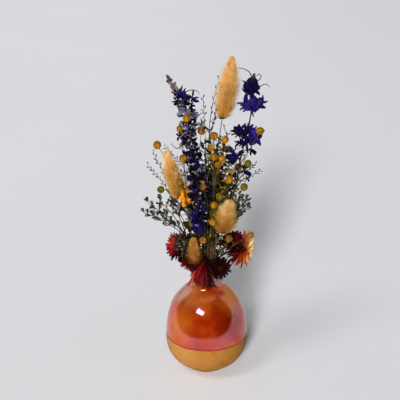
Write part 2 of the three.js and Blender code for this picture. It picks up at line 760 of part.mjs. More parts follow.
// Twigs with small blades along them: seeds on a grass, leaves on the filler.
function makeBladed(name, spray, arms, stemRadius, blades, colour, seed) {
  const points = stemPoints(spray);
  const parts = [tube(points, stemRadius, 4, 1)];
  arms.forEach((arm, k) => {
    const line = growTwig(name, parts, points.at(-1), point(arm));
    if (!line) return;
    for (let i = 0; i < blades.perArm; i += 1) {
      const s = blades.from + ((1 - blades.from) * (i + 1)) / blades.perArm;
      const root = line[Math.round((line.length - 1) * s)];
      const out = about(UP, i * GOLDEN_TURN + k + chance(seed, i + 9 * k), 0.65);
      const leaf = put(blade(blades.length, blades.width, blades.thickness, 0.5), root, out, UP);
      addIfFree(name, parts, [leaf]);
    }
  });
  addMesh(name, fuse(parts), colour, 0.9);
}

makeVase();

// Every stem takes its room first, so that blooms keep clear of the stems behind them.
for (const tail of TAILS) {
  const end = point(tail.base).addScaledVector(point(tail.tip).sub(point(tail.base)).normalize(), -0.7);
  const points = takeStem(`tail_stem_${tail.name}`, stemPoints(tail, end), TAIL_STEM);
  addMesh(`tail_stem_${tail.name}`, fuse([tube(points, TAIL_STEM, 5, 1)]), COLOUR.straw);
}
for (const flower of STRAWFLOWERS) {
  const back = point(flower.face).normalize().multiplyScalar(-0.3 * flower.radius - 1.1);
  const end = point(flower.at).add(back);
  const points = takeStem(`strawflower_stem_${flower.name}`, stemPoints(flower, end), FLOWER_STEM);
  addMesh(`strawflower_stem_${flower.name}`, fuse([tube(points, FLOWER_STEM, 5, 1)]), COLOUR.greenStem);
}
for (const spike of LARKSPURS) takeStem(`larkspur_${spike.name}`, stemPoints(spike), SPIKE_STEM);
for (const spray of FLAX) takeStem(`flax_${spray.name}`, stemPoints(spray), SPRAY_STEM);
for (const spray of STATICE) takeStem(`statice_${spray.name}`, stemPoints(spray), SPRAY_STEM);
for (const grass of GRASSES) takeStem(`seed_grass_${grass.name}`, stemPoints(grass), TWIG);
for (const spray of FILLERS) takeStem(`filler_${spray.name}`, stemPoints(spray), SPRAY_STEM);

TAILS.forEach(makeTailHead);
STRAWFLOWERS.forEach(makeStrawflower);
LARKSPURS.forEach(makeLarkspur);
FLAX.forEach(makeFlax);
STATICE.forEach(makeStatice);
FILLERS.forEach((spray, i) => {
  makeBladed(`filler_${spray.name}`, spray, spray.twigs, SPRAY_STEM, LEAVES, COLOUR.olive, i);
});
GRASSES.forEach((spray, i) => {
  makeBladed(`seed_grass_${spray.name}`, spray, spray.arms, TWIG, SEEDS, COLOUR.seed, i);
});

export default bouquet;
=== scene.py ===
"""Looks for a small stoneware vase of dried flowers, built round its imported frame.

Plants are sized in millimetres, in the frame's own axes: +Z is up and -Y faces the viewer.
Each fine piece takes the place of the plain solid that stands where it grows, and its lengths
turn into metres when its mesh is made.
"""
import json
import logging
import math
from dataclasses import dataclass, field
from enum import Enum
from typing import Callable, NamedTuple, Sequence

import bmesh
import bpy
import numpy as np
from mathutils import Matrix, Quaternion, Vector

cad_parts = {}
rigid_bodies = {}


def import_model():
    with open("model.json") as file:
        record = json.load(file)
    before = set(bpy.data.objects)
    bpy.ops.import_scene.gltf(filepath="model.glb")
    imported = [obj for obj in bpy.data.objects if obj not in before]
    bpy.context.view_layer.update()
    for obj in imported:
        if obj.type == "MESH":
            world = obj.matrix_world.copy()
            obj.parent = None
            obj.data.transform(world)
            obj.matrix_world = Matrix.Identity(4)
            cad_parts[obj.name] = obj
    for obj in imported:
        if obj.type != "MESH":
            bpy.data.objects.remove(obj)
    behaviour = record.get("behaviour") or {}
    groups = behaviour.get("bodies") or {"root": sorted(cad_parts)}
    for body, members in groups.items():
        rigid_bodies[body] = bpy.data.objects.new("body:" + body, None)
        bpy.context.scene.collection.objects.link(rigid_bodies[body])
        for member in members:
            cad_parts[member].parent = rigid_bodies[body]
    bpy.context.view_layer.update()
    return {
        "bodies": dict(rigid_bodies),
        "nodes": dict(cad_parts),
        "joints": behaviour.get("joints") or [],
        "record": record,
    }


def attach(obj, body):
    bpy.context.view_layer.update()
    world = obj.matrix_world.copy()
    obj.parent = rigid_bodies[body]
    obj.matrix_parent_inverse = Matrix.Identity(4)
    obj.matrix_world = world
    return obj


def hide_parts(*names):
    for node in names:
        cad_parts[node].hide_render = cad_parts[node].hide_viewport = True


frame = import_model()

MM = 0.001
GOLDEN_TURN = math.radians(137.508)
UP = np.array([0.0, 0.0, 1.0])
BODY = "root"

log = logging.getLogger("bouquet")

Colour = tuple[float, float, float, float]
Place = tuple[float, float, float]


class Slot(Enum):
    """The record's material slots."""

    STONEWARE = "glazed_stoneware"
    STRAW = "straw_stem"
    PLUME = "tail_plume"
    GREEN = "green_stem"
    DISC = "disc_yellow"
    CRIMSON = "crimson_bract"
    MAROON = "maroon_bract"
    RUST = "rust_bract"
    ORANGE = "orange_bract"
    LARKSPUR = "larkspur_petal"
    POD = "flax_pod"
    STATICE = "statice_calyx"
    SEED = "grass_seed"
    OLIVE = "olive_twig"


# ---------------------------------------------------------------- small maths


def linear(code: str) -> Colour:
    """Return a hex colour code as linear red, green, blue and alpha."""
    channels = [int(code[i:i + 2], 16) / 255 for i in (1, 3, 5)]
    low = [c / 12.92 if c <= 0.04045 else ((c + 0.055) / 1.055) ** 2.4 for c in channels]
    return (low[0], low[1], low[2], 1.0)


def unit(direction: Sequence[float]) -> np.ndarray:
    """Return a direction, or rows of them, at length 1."""
    found = np.asarray(direction, float)
    return found / np.maximum(np.linalg.norm(found, axis=-1, keepdims=True), 1e-9)


def frames_along(along: np.ndarray, facing: np.ndarray) -> np.ndarray:
    """Return turned axes for a copy of a shape, or for rows of copies.

    Args:
        along: The direction that each copy's +X takes.
        facing: The direction that each copy's +Z leans to.

    Returns:
        One 3 by 3 matrix for each copy, with the axes in its columns.
    """
    x = unit(along)
    y = unit(np.cross(facing, x))
    return np.stack([x, y, np.cross(x, y)], axis=-1)


def about(axis: Sequence[float], turns: np.ndarray, tilts: np.ndarray) -> np.ndarray:
    """Return directions about an axis.

    Args:
        axis: The head's axis.
        turns: Angles round the axis.
        tilts: Angles that rise from the axis's plane towards it.

    Returns:
        One unit direction for each turn and tilt.
    """
    turn = np.array(Vector((0, 0, 1)).rotation_difference(Vector(axis)).to_matrix())
    turns, tilts = np.broadcast_arrays(np.asarray(turns, float), np.asarray(tilts, float))
    level = np.cos(tilts)
    local = np.stack([level * np.cos(turns), level * np.sin(turns), np.sin(tilts)], axis=-1)
    return local @ turn.T


def smooth_route(points: Sequence[Sequence[float]], per_span: int) -> np.ndarray:
    """Sample the centripetal curve through some points.

    Args:
        points: The points that the route passes.
        per_span: Steps between each point and the next.

    Returns:
        Rows of places along the route.
    """
    p = np.asarray(points, float)
    p = np.vstack([2 * p[0] - p[1], p, 2 * p[-1] - p[-2]])
    gaps = np.maximum(np.linalg.norm(np.diff(p, axis=0), axis=1) ** 0.5, 1e-4)
    made = []
    for i in range(1, len(p) - 2):
        before, here, after = gaps[i - 1], gaps[i], gaps[i + 1]
        x0, x1, x2, x3 = p[i - 1:i + 3]
        t1 = ((x1 - x0) / before - (x2 - x0) / (before + here) + (x2 - x1) / here) * here
        t2 = ((x2 - x1) / here - (x3 - x1) / (here + after) + (x3 - x2) / after) * here
        t = np.arange(per_span)[:, None] / per_span
        made.append(x1 + t1 * t + (3 * (x2 - x1) - 2 * t1 - t2) * t**2 + (2 * (x1 - x2) + t1 + t2) * t**3)
    return np.vstack([*made, p[-2:-1]])


def even_steps(points: Sequence[Sequence[float]], step: float) -> np.ndarray:
    """Return places along a route, a step apart or a little less."""
    fine = smooth_route(points, 24)
    reach = np.concatenate([[0], np.cumsum(np.linalg.norm(np.diff(fine, axis=0), axis=1))])
    at = np.linspace(0, reach[-1], max(4, math.ceil(reach[-1] / step)) + 1)
    return np.stack([np.interp(at, reach, fine[:, k]) for k in range(3)], axis=1)


# ---------------------------------------------------------------- shader nodes


def operator(operation: str, swapped: bool = False) -> Callable[["Value", "Number"], "Value"]:
    """Return an operator that adds a Math node, with its sides swapped if it is a reflected one."""

    def written(self: "Value", other: "Number") -> "Value":
        """Return the socket joined with another by the operation."""
        return self.maths(operation, *((other, self) if swapped else (self, other)))

    return written


class Value:
    """A shader socket that Python's own arithmetic can be written on."""

    def __init__(self, shader: "Shader", socket: bpy.types.NodeSocket) -> None:
        """Keep the shader and the socket."""
        self.shader = shader
        self.socket = socket

    def maths(self, operation: str, first: "Number", second: "Number" = 0.0, clamp: bool = False) -> "Value":
        """Add a Math node on two numbers or sockets."""
        settings = {"operation": operation, "use_clamp": clamp}
        return self.shader.node("ShaderNodeMath", settings, {0: first, 1: second})

    __add__ = __radd__ = operator("ADD")
    __sub__, __rsub__ = operator("SUBTRACT"), operator("SUBTRACT", swapped=True)
    __mul__ = __rmul__ = operator("MULTIPLY")
    __truediv__, __pow__ = operator("DIVIDE"), operator("POWER")

    def __abs__(self) -> "Value":
        """Return this without its sign."""
        return self.maths("ABSOLUTE", self)

    def smooth(self) -> "Value":
        """Return this eased at 0 and at 1."""
        return self * self * (3.0 - self * 2.0)

    def clamped(self) -> "Value":
        """Return this kept from 0 to 1."""
        return self.maths("ADD", self, 0.0, clamp=True)

    def rising(self, low: float, high: float) -> "Value":
        """Return 0 below low and 1 above high, with an even slope between."""
        return ((self - low) / (high - low)).clamped()


Number = Value | float


class Shader:
    """Builds the nodes of one material."""

    def __init__(self, name: str) -> None:
        """Start a material with no nodes."""
        self.material = bpy.data.materials.new(name)
        self.material.use_nodes = True
        self.tree = self.material.node_tree
        self.tree.nodes.clear()

    def node(self, kind: str, settings: dict, sockets: dict, output: int | str = 0) -> Value:
        """Add one node.

        Args:
            kind: The node's type.
            settings: Its settings, or a ramp's stops, which are set first.
            sockets: Values or links by the names or numbers of its inputs.
            output: The output that is wanted.

        Returns:
            The node's output.
        """
        made = self.tree.nodes.new(kind)
        for key, setting in settings.items():
            if key == "stops":
                ramp = made.color_ramp
                while len(ramp.elements) < len(setting):
                    ramp.elements.new(1.0)
                for element, (position, shade) in zip(ramp.elements, setting):
                    element.position = position
                    element.color = shade
            else:
                setattr(made, key, setting)
        for key, given in sockets.items():
            if isinstance(given, Value):
                self.tree.links.new(given.socket, made.inputs[key])
            else:
                made.inputs[key].default_value = given
        return Value(self, made.outputs[output])

    def attribute(self, name: str) -> Value:
        """Return a number that the mesh holds at each corner."""
        return self.node("ShaderNodeAttribute", {"attribute_name": name}, {}, "Fac")

    def place(self) -> Value:
        """Return the place on the piece."""
        return self.node("ShaderNodeTexCoord", {}, {}, "Object")

    def stretched(self, x: float, y: float, z: float) -> Value:
        """Return the place on the piece with its axes scaled."""
        return self.node("ShaderNodeMapping", {}, {"Vector": self.place(), "Scale": (x, y, z)})

    def height(self) -> Value:
        """Return the height on the piece, in millimetres."""
        return self.node("ShaderNodeSeparateXYZ", {}, {0: self.place()}, "Z") * 1000.0

    def vectors(
        self, operation: str, first: "Value | Place", second: "Value | Place", output: str = "Vector",
    ) -> Value:
        """Add a Vector Math node on two places or sockets."""
        return self.node("ShaderNodeVectorMath", {"operation": operation}, {0: first, 1: second}, output)

    def apart(self, place: Value, at: Place) -> Value:
        """Return the distance of a place from a point, in millimetres."""
        return self.vectors("DISTANCE", place, tuple(c * MM for c in at), "Value") * 1000.0

    def shaken(self, size: float, reach: float) -> Value:
        """Return the place on the piece moved about by noise, its grains and reach in millimetres."""
        sockets = {"Vector": self.place(), "Scale": 1 / (size * MM)}
        cloud = self.node("ShaderNodeTexNoise", {}, sockets, "Color")
        centred = self.vectors("SUBTRACT", cloud, (0.5, 0.5, 0.5))
        moved = self.vectors("MULTIPLY", centred, (2 * reach * MM,) * 3)
        return self.vectors("ADD", self.place(), moved)

    def noise(self, size: float, detail: float = 2.0, vector: "Value | None" = None) -> Value:
        """Return soft noise with grains of a size in millimetres."""
        sockets = {"Vector": vector or self.place(), "Scale": 1 / (size * MM), "Detail": detail}
        return self.node("ShaderNodeTexNoise", {}, sockets)

    def ramp(self, factor: Value, stops: Sequence[tuple[float, str]]) -> Value:
        """Return colours along a ramp of places and hex codes."""
        made = [(position, linear(code)) for position, code in stops]
        return self.node("ShaderNodeValToRGB", {"stops": made}, {"Fac": factor})

    def mix(self, first: "Value | Colour", second: "Value | Colour", factor: Number) -> Value:
        """Return one colour mixed into another."""
        return self.node("ShaderNodeMix", {"data_type": "RGBA"}, {0: factor, 6: first, 7: second}, 2)

    def bump(self, height: Value, strength: float, distance: float) -> Value:
        """Return normals for a height, with its distance in millimetres."""
        sockets = {"Height": height, "Strength": strength, "Distance": distance * MM}
        return self.node("ShaderNodeBump", {}, sockets)

    def principled(self, sockets: dict) -> Value:
        """Return a surface from the values or links of its sockets."""
        return self.node("ShaderNodeBsdfPrincipled", {}, sockets)

    def blend(self, first: Value, second: Value, factor: Number) -> Value:
        """Return a mix of two surfaces."""
        return self.node("ShaderNodeMixShader", {}, {0: factor, 1: first, 2: second})

    def finished(self, surface: Value) -> bpy.types.Material:
        """Join a surface to the output and return the material."""
        end = self.tree.nodes.new("ShaderNodeOutputMaterial")
        self.tree.links.new(surface.socket, end.inputs["Surface"])
        return self.material


# ---------------------------------------------------------------- finishes


@dataclass(frozen=True)
class DryFinish:
    """A dry plant surface.

    The shades spread evenly over the copies' own shade, from 0 to 1, and the tip colour covers
    a share of the last stretch of each petal, hair or seed.
    """

    name: str
    shades: tuple[str, ...]
    tip: str = "#ffffff"
    tip_share: float = 0.0
    tip_from: float = 0.6
    mottle: float = 0.25
    mottle_size: float = 1.4
    roughness: float = 0.75
    gloss: float = 0.12
    bump: float = 0.25

    def material(self) -> bpy.types.Material:
        """Return the finish as a material."""
        shader = Shader(self.name)
        grain = shader.noise(self.mottle_size, 3.0)
        tone = (shader.attribute("shade") + (grain - 0.5) * (2 * self.mottle)).clamped()
        last = max(1, len(self.shades) - 1)
        base = shader.ramp(tone, [(i / last, code) for i, code in enumerate(self.shades)])
        if self.tip_share:
            covered = shader.attribute("along").rising(self.tip_from, 1.0) * self.tip_share
            base = shader.mix(base, linear(self.tip), covered)
        sockets = {
            "Base Color": base,
            "Roughness": (grain * 0.2 + (self.roughness - 0.1)).clamped(),
            "Specular IOR Level": self.gloss,
            "Normal": shader.bump(shader.noise(0.5, 2.0), self.bump, 0.1),
        }
        return shader.finished(shader.principled(sockets))


class Spot(NamedTuple):
    """A soft patch of the glaze: its middle, its reach in millimetres, its colour and its share."""

    at: Place
    reach: float
    tint: str
    share: float = 1.0


# Painted reflection: a dark red trail in the shoulder's crease where the flowers shine in the glaze.
PAINTED_FLOWER_REFLECTION = (
    (2.5, -15.6, 82.4), (5.7, -15.9, 81.4), (8.6, -15.4, 80.6), (11.4, -14.2, 79.8), (13.4, -13.2, 79),
    (9.4, -18.2, 77.8),
)
# Patches on the glaze's colour. The orange patch on the left and the dark red ones on the right are painted
# light and shade. The others follow the glaze's own mottle together with painted light and shade. The last
# ones lay the painted reflection of the flowers.
GLAZE_MOTTLE_AND_PAINTED_LIGHT = (
    Spot((-26, -24, 55), 24, "#c0661c", 0.85), Spot((24, -27, 55), 27, "#6c1400", 0.9),
    Spot((-3, -22, 77), 16, "#b8601c", 0.75), Spot((22, -12, 75), 22, "#b8701e", 0.8),
    Spot((-14, -14, 84), 12, "#c07c54", 0.8), Spot((-22, -8, 76), 13, "#c08c70", 0.75),
    Spot((6, -18, 80), 12, "#a8480c", 0.8),
    Spot((-15, -20, 73), 11, "#c07434", 0.6), Spot((8, -27, 69), 13, "#76200a", 0.6),
    Spot((12, -8, 89), 10, "#5a3c34", 0.8),
    *(Spot(at, 4.6, "#7a0a02", 0.95) for at in PAINTED_FLOWER_REFLECTION),
)
PEARL_SPOTS = (
    Spot((-34, -10, 62), 20, "#ee5f74"), Spot((-36, -6, 46), 16, "#ee8f74"),
    Spot((-17, -9, 80), 13, "#f6e6d6"), Spot((-25, -9, 72), 12, "#f2cfa4"),
    Spot((21, -8, 76), 16, "#e68a28"), Spot((20, -17, 70), 13, "#dd8a48"),
    Spot((25.5, -19, 65), 11, "#c8b8a8"), Spot((31, -12, 60), 10, "#c8404c"),
    Spot((28, -22, 52), 13, "#a8607e"), Spot((22, -29, 47), 12, "#bc5c84"),
    Spot((29, -23, 39), 9, "#c04030"), Spot((-18, -31, 50), 13, "#cc5c96"),
    Spot((-11, -34, 44), 12, "#dc7494"), Spot((-2, -36, 41), 10, "#e06c58"),
    Spot((13, -33, 45), 13, "#c8788a"), Spot((-30, -21, 47), 13, "#de7a20"),
    Spot((-24, -28, 40), 12, "#e07410"), Spot((12, -8, 88), 11, "#a89ca4"),
    Spot((-12, -9, 86), 9, "#d8925c"), Spot((35, -9, 42), 18, "#e08a24"),
)


@dataclass(frozen=True)
class LustreFinish:
    """The vase: bare speckled clay below and a red-orange glaze with a pearly lustre above."""

    name: str = "lustre_glaze"
    glaze_line: float = 33.9
    line_wander: float = 0.7
    lustre: float = 0.4

    def clay(self, shader: Shader) -> Value:
        """Return the bare clay's surface."""
        tone = shader.noise(14.0, 4.0)
        grit = shader.noise(0.75, 2.0)
        base = shader.ramp(tone, [(0.3, "#8c581a"), (0.5, "#946020"), (0.7, "#9e6a28")])
        # Painted light and shade: the clay is made lighter on the left and darker on the right.
        right = shader.node("ShaderNodeSeparateXYZ", {}, {0: shader.place()}, "X").rising(-0.036, 0.036)
        base = shader.mix(base, linear("#b88046"), (1.0 - right).rising(0.4, 1.0) * 0.7)
        base = shader.mix(base, linear("#86591a"), right.rising(0.5, 1.0) * 0.6)
        dark = shader.mix(base, linear("#74481e"), grit.rising(0.58, 0.68) * 0.8)
        light = shader.mix(dark, linear("#d6a868"), (1.0 - grit).rising(0.60, 0.70) * 0.6)
        sockets = {
            "Base Color": light,
            "Roughness": (grit * 0.2 + 0.72).clamped(),
            "Specular IOR Level": 0.25,
            "Normal": shader.bump(grit, 0.5, 0.12),
        }
        return shader.principled(sockets)

    @staticmethod
    def nearness(shader: Shader, place: Value, spot: Spot) -> Value:
        """Return 1 in the middle of a patch, easing to 0 at its reach."""
        return (1.0 - shader.apart(place, spot.at) / spot.reach).clamped().smooth()

    def spotted(self, shader: Shader, base: Value, spots: Sequence[Spot], place: Value) -> Value:
        """Return a colour with soft patches laid over it."""
        for spot in spots:
            base = shader.mix(base, linear(spot.tint), self.nearness(shader, place, spot) * spot.share)
        return base

    def glaze(self, shader: Shader, height: Value, place: Value) -> Value:
        """Return the glaze's surface, its colour deepest where it gathers above its edge."""
        cloud = shader.noise(16.0, 3.0)
        body = shader.ramp(cloud, [(0.3, "#8a1c00"), (0.5, "#a22c02"), (0.7, "#b64808")])
        # Over the glaze's own clouded colour go the patches of painted light, shade and reflection.
        body = self.spotted(shader, body, GLAZE_MOTTLE_AND_PAINTED_LIGHT, place)
        edge = 1.0 - abs(height - (self.glaze_line + 0.5)).rising(0.5, 1.2)
        lined = shader.mix(body, linear("#701c04"), edge * 0.9)
        sockets = {
            "Base Color": lined,
            "Roughness": (cloud * 0.06 + 0.06 + edge * 0.45).clamped(),
            "IOR": 1.6,
            "Specular IOR Level": 0.5,
            "Normal": shader.bump(shader.noise(2.2, 2.0), 0.02, 0.1),
        }
        return shader.principled(sockets)

    def pearl(self, shader: Shader, place: Value) -> Value:
        """Return the lustre, which turns from pink through mauve to ochre round the vase."""
        drift = shader.noise(22.0, 2.0, shader.stretched(1.0, 1.0, 1.5))
        tint = shader.ramp(drift, [
            (0.3, "#e0607c"), (0.42, "#c8709a"), (0.52, "#d98f7c"), (0.6, "#de9438"), (0.72, "#d0a8a8"),
        ])
        tint = self.spotted(shader, tint, PEARL_SPOTS, place)
        return shader.principled({"Base Color": tint, "Metallic": 1.0, "Roughness": 0.1})

    def material(self) -> bpy.types.Material:
        """Return the finish as a material."""
        shader = Shader(self.name)
        wander = (shader.noise(14.0, 2.0) - 0.5) * self.line_wander
        height = shader.height() + wander
        place = shader.shaken(9.0, 5.0)
        glazed = height.rising(self.glaze_line - 0.12, self.glaze_line + 0.12)
        # No lustre along the painted reflection of the flowers, so that it shows dark red.
        bare = sum((self.nearness(shader, place, Spot(at, 4.2, "")) for at in PAINTED_FLOWER_REFLECTION), 0.0).clamped()
        share = (1.0 - bare) * height.rising(self.glaze_line + 0.9, self.glaze_line + 3.4) * self.lustre
        glaze = shader.blend(self.glaze(shader, height, place), self.pearl(shader, place), share)
        return shader.finished(shader.blend(self.clay(shader), glaze, glazed))


@dataclass(frozen=True)
class PaperFinish:
    """The pale paper that the vase stands on."""

    name: str = "pale_paper"
    tone: str = "#e8e8ea"

    def material(self) -> bpy.types.Material:
        """Return the finish as a material."""
        shader = Shader(self.name)
        cloud = shader.noise(400.0, 2.0)
        base = shader.mix(linear(self.tone), linear("#e2e3e6"), cloud)
        # Painted shade: the paper is made darker towards the right.
        right = shader.node("ShaderNodeSeparateXYZ", {}, {0: shader.place()}, "X").rising(-0.3, 0.7)
        base = shader.mix(base, linear("#dcdbe0"), right)
        sockets = {"Base Color": base, "Roughness": 0.9, "Specular IOR Level": 0.1}
        return shader.finished(shader.principled(sockets))


@dataclass(frozen=True)
class DarkCard:
    """The dark end of the room, as the glaze sees it: black inside a soft rounded outline."""

    name: str = "dark_card"
    turn: float = -12.0
    half_turn: float = 99.0
    rise: float = 25.0
    half_rise: float = 39.5
    seen_from: float = 0.05
    squareness: float = 3.0

    def material(self) -> bpy.types.Material:
        """Return the finish as a material."""
        shader = Shader(self.name)
        x, y, z = (shader.node("ShaderNodeSeparateXYZ", {}, {0: shader.place()}, axis) for axis in "XYZ")
        turn = x.maths("ARCTAN2", x, y * -1.0) * math.degrees(1)
        rise = x.maths("ARCTAN2", z - self.seen_from, (x * x + y * y) ** 0.5) * math.degrees(1)
        across = abs((turn - self.turn) / self.half_turn) ** self.squareness
        up = abs((rise - self.rise) / self.half_rise) ** self.squareness
        outside = (across + up).rising(0.88, 1.12)
        sockets = {"Base Color": linear("#0c0706"), "Roughness": 1.0, "Specular IOR Level": 0.0}
        dark = shader.principled(sockets)
        clear = shader.node("ShaderNodeBsdfTransparent", {}, {})
        return shader.finished(shader.blend(dark, clear, outside))


STRAW_STEM = DryFinish("straw_stem_dry", ("#4a3c24", "#7c6638", "#9c8248"), mottle=0.5, mottle_size=3.0)
GREY_STEM = DryFinish("grey_stem_dry", ("#3a3240", "#5c505a", "#7a6c60"), mottle=0.5, mottle_size=3.0)
GREEN_STEM = DryFinish("green_stem_dry", ("#10140a", "#262a12", "#48461e", "#6e6630"),
                       mottle=0.45, mottle_size=4.0)
DARK_STEM = DryFinish("dark_stem_dry", ("#0c110a", "#191d0e", "#383a18"), mottle=0.4, mottle_size=3.0)
TWIG_STEM = DryFinish("twig_dry", ("#100f08", "#241f10", "#40361a", "#6a5828"), mottle=0.6, mottle_size=5.0)
PLUME = DryFinish(
    "plume_hair", ("#7a3c04", "#b0680e", "#dc962a", "#f4be58"), tip="#fbd890", tip_share=0.4,
    tip_from=0.5, mottle=0.12, mottle_size=5.0, roughness=0.9, gloss=0.1, bump=0.0,
)
FUZZ = DryFinish(
    "plume_fuzz", ("#b07a34", "#e8b470", "#fbdca4"), mottle=0.1, mottle_size=5.0, roughness=0.9,
    gloss=0.1, bump=0.0,
)
PALE_FUZZ = DryFinish(
    "plume_fuzz_pale", ("#8e5c18", "#cc9c50", "#f6deac"), mottle=0.1, mottle_size=5.0, roughness=0.9,
    gloss=0.1, bump=0.0,
)
HAZE = DryFinish("plume_haze", ("#4e2c0a", "#8e5e1e"), mottle=0.2, mottle_size=3.0, roughness=0.9,
                 gloss=0.1, bump=0.0)
VIOLET = DryFinish(
    "violet_petal",
    ("#040308", "#08051a", "#0f0830", "#1b1052", "#31257e", "#6c68a0", "#7c788c", "#6e5244"),
    tip="#0e0826", tip_share=0.45, mottle=0.06, mottle_size=1.2, roughness=0.75, bump=0.5,
)
FADED = DryFinish(
    "faded_petal", ("#0a0a10", "#1a1a22", "#34343c", "#5e5c70", "#8c8480", "#7a6634", "#34361a"),
    tip="#a098a4", tip_share=0.3, tip_from=0.55, mottle=0.15, mottle_size=1.0, bump=0.5,
)
BUD = DryFinish("bud_dry", ("#1e141c", "#38282f", "#5e4a50", "#78695f"), mottle=0.2, mottle_size=1.5)
CRIMSON = DryFinish(
    "crimson_paper", ("#1a0104", "#40030a", "#720410", "#a01812", "#c85038"), tip="#280308",
    tip_share=0.4, tip_from=0.75, mottle=0.10, roughness=0.5, gloss=0.2, bump=0.3,
)
MAROON = DryFinish(
    "maroon_paper", ("#0c0103", "#2a0308", "#56080e", "#84181a"), tip="#140104",
    tip_share=0.3, mottle=0.12, roughness=0.5, gloss=0.2, bump=0.3,
)
RUST = DryFinish(
    "rust_paper", ("#240406", "#5a0a08", "#9a200a", "#c44e10", "#e49c3c", "#f2dc98"), tip="#3a0608",
    tip_share=0.35, tip_from=0.7, mottle=0.08, roughness=0.5, gloss=0.4, bump=0.3,
)
ORANGE = DryFinish(
    "orange_paper", ("#c05a00", "#e68a04", "#f6a40a", "#fabc28"), tip="#fac030",
    tip_share=0.3, mottle=0.12, roughness=0.5, gloss=0.4,
)
DISC_FINISH = DryFinish(
    "disc_florets", ("#0c140a", "#3a2c10", "#92601a", "#c8922c", "#c0b868"), mottle=0.2, mottle_size=1.0,
)
POD = DryFinish(
    "pod_skin", ("#565204", "#6e5c04", "#8a5a02", "#b07606", "#6a360a"), tip="#2a1404",
    tip_share=0.9, tip_from=0.6, mottle=0.35, mottle_size=2.5, roughness=0.4, gloss=0.25, bump=0.15,
)
CALYX = DryFinish(
    "calyx_paper", ("#0d0c07", "#1c1a0e", "#36311c", "#575040", "#a89ca0"), tip="#746a5c",
    tip_share=0.3, tip_from=0.7, mottle=0.15, mottle_size=1.0, roughness=0.8,
)
SEED = DryFinish("seed_husk", ("#0e0d08", "#1f1c10", "#3a3220", "#5c4e2c"), mottle=0.2, mottle_size=1.0)
LEAF = DryFinish("leaf_dry", ("#1a1d0c", "#38380f", "#5e5418", "#6e4a18", "#4a2410"),
                 mottle=0.2, mottle_size=2.0)
# Dark dried leaves, made near-black so that they also stand in as painted shade deep among the stems.
SHADE_DARK_LEAF = DryFinish("leaf_dark_painted_shade", ("#060a05", "#0f170a", "#1e260e", "#34360f"), mottle=0.2, mottle_size=2.0)
GOLD_HUSK = DryFinish("gold_husk", ("#241a08", "#6a4c0e", "#9c7818", "#5c2c10", "#c0b084"),
                      mottle=0.25, mottle_size=1.2)


class Dresser:
    """Makes each finish's material once."""

    def __init__(self) -> None:
        """Start with no materials."""
        self.made: dict[str, bpy.types.Material] = {}

    def material(self, finish: "DryFinish | LustreFinish | PaperFinish") -> bpy.types.Material:
        """Return the finish's material, made when it is first asked for."""
        if finish.name not in self.made:
            self.made[finish.name] = finish.material()
        return self.made[finish.name]


# ---------------------------------------------------------------- modelling


def deselect_all() -> None:
    """Leave nothing selected, in object mode."""
    if bpy.context.mode != "OBJECT":
        bpy.ops.object.mode_set(mode="OBJECT")
    for thing in bpy.context.selected_objects:
        thing.select_set(False)


class Edit:
    """Edit mode on the object that was added last, with its corners selected by their place."""

    def __enter__(self) -> "Edit":
        """Open edit mode on the active object."""
        bpy.context.tool_settings.mesh_select_mode = (True, False, False)
        bpy.ops.object.mode_set(mode="EDIT")
        return self

    def __exit__(self, *_: object) -> None:
        """Go back to object mode."""
        bpy.ops.object.mode_set(mode="OBJECT")

    def pick(self, test: Callable[[Vector], bool]) -> None:
        """Select the corners whose place passes a test, and nothing else."""
        mesh = bmesh.from_edit_mesh(bpy.context.object.data)
        for face in mesh.faces:
            face.select = False
        for edge in mesh.edges:
            edge.select = False
        for corner in mesh.verts:
            corner.select = test(corner.co)
        mesh.select_flush(True)
        bmesh.update_edit_mesh(bpy.context.object.data)

    def all(self) -> None:
        """Select everything."""
        bpy.ops.mesh.select_all(action="SELECT")

    def move(self, x: float, y: float, z: float) -> None:
        """Move what is selected."""
        bpy.ops.transform.translate(value=(x, y, z))

    def scale(self, x: float, y: float, z: float) -> None:
        """Scale what is selected about the axis."""
        bpy.ops.transform.resize(value=(x, y, z), center_override=(0, 0, 0))

    def grow(self, x: float, y: float, z: float) -> None:
        """Extrude what is selected."""
        bpy.ops.mesh.extrude_region_move(TRANSFORM_OT_translate={"value": (x, y, z)})

    def close(self, gap: float = 1e-5) -> None:
        """Merge what lies together and turn the faces outwards."""
        self.all()
        bpy.ops.mesh.remove_doubles(threshold=gap)
        bpy.ops.mesh.normals_make_consistent(inside=False)


@dataclass
class Shape:
    """A small mesh as plain arrays, ready to be copied."""

    corners: np.ndarray
    loops: np.ndarray
    sizes: np.ndarray
    along: np.ndarray

    @classmethod
    def taken(cls, along_axis: int | None = None) -> "Shape":
        """Take the active object's mesh and remove the object.

        Args:
            along_axis: The axis on which a corner's share of the length is measured, if any.

        Returns:
            The mesh as a shape.
        """
        thing = bpy.context.object
        mesh = thing.data
        corners = np.zeros(len(mesh.vertices) * 3)
        mesh.vertices.foreach_get("co", corners)
        corners = corners.reshape(-1, 3)
        loops = np.zeros(len(mesh.loops), int)
        mesh.loops.foreach_get("vertex_index", loops)
        sizes = np.zeros(len(mesh.polygons), int)
        mesh.polygons.foreach_get("loop_total", sizes)
        along = np.zeros(len(corners))
        if along_axis is not None:
            reach = corners[:, along_axis]
            along = (reach - reach.min()) / max(float(np.ptp(reach)), 1e-9)
        bpy.data.objects.remove(thing)
        bpy.data.meshes.remove(mesh)
        return cls(corners, loops, sizes, along)


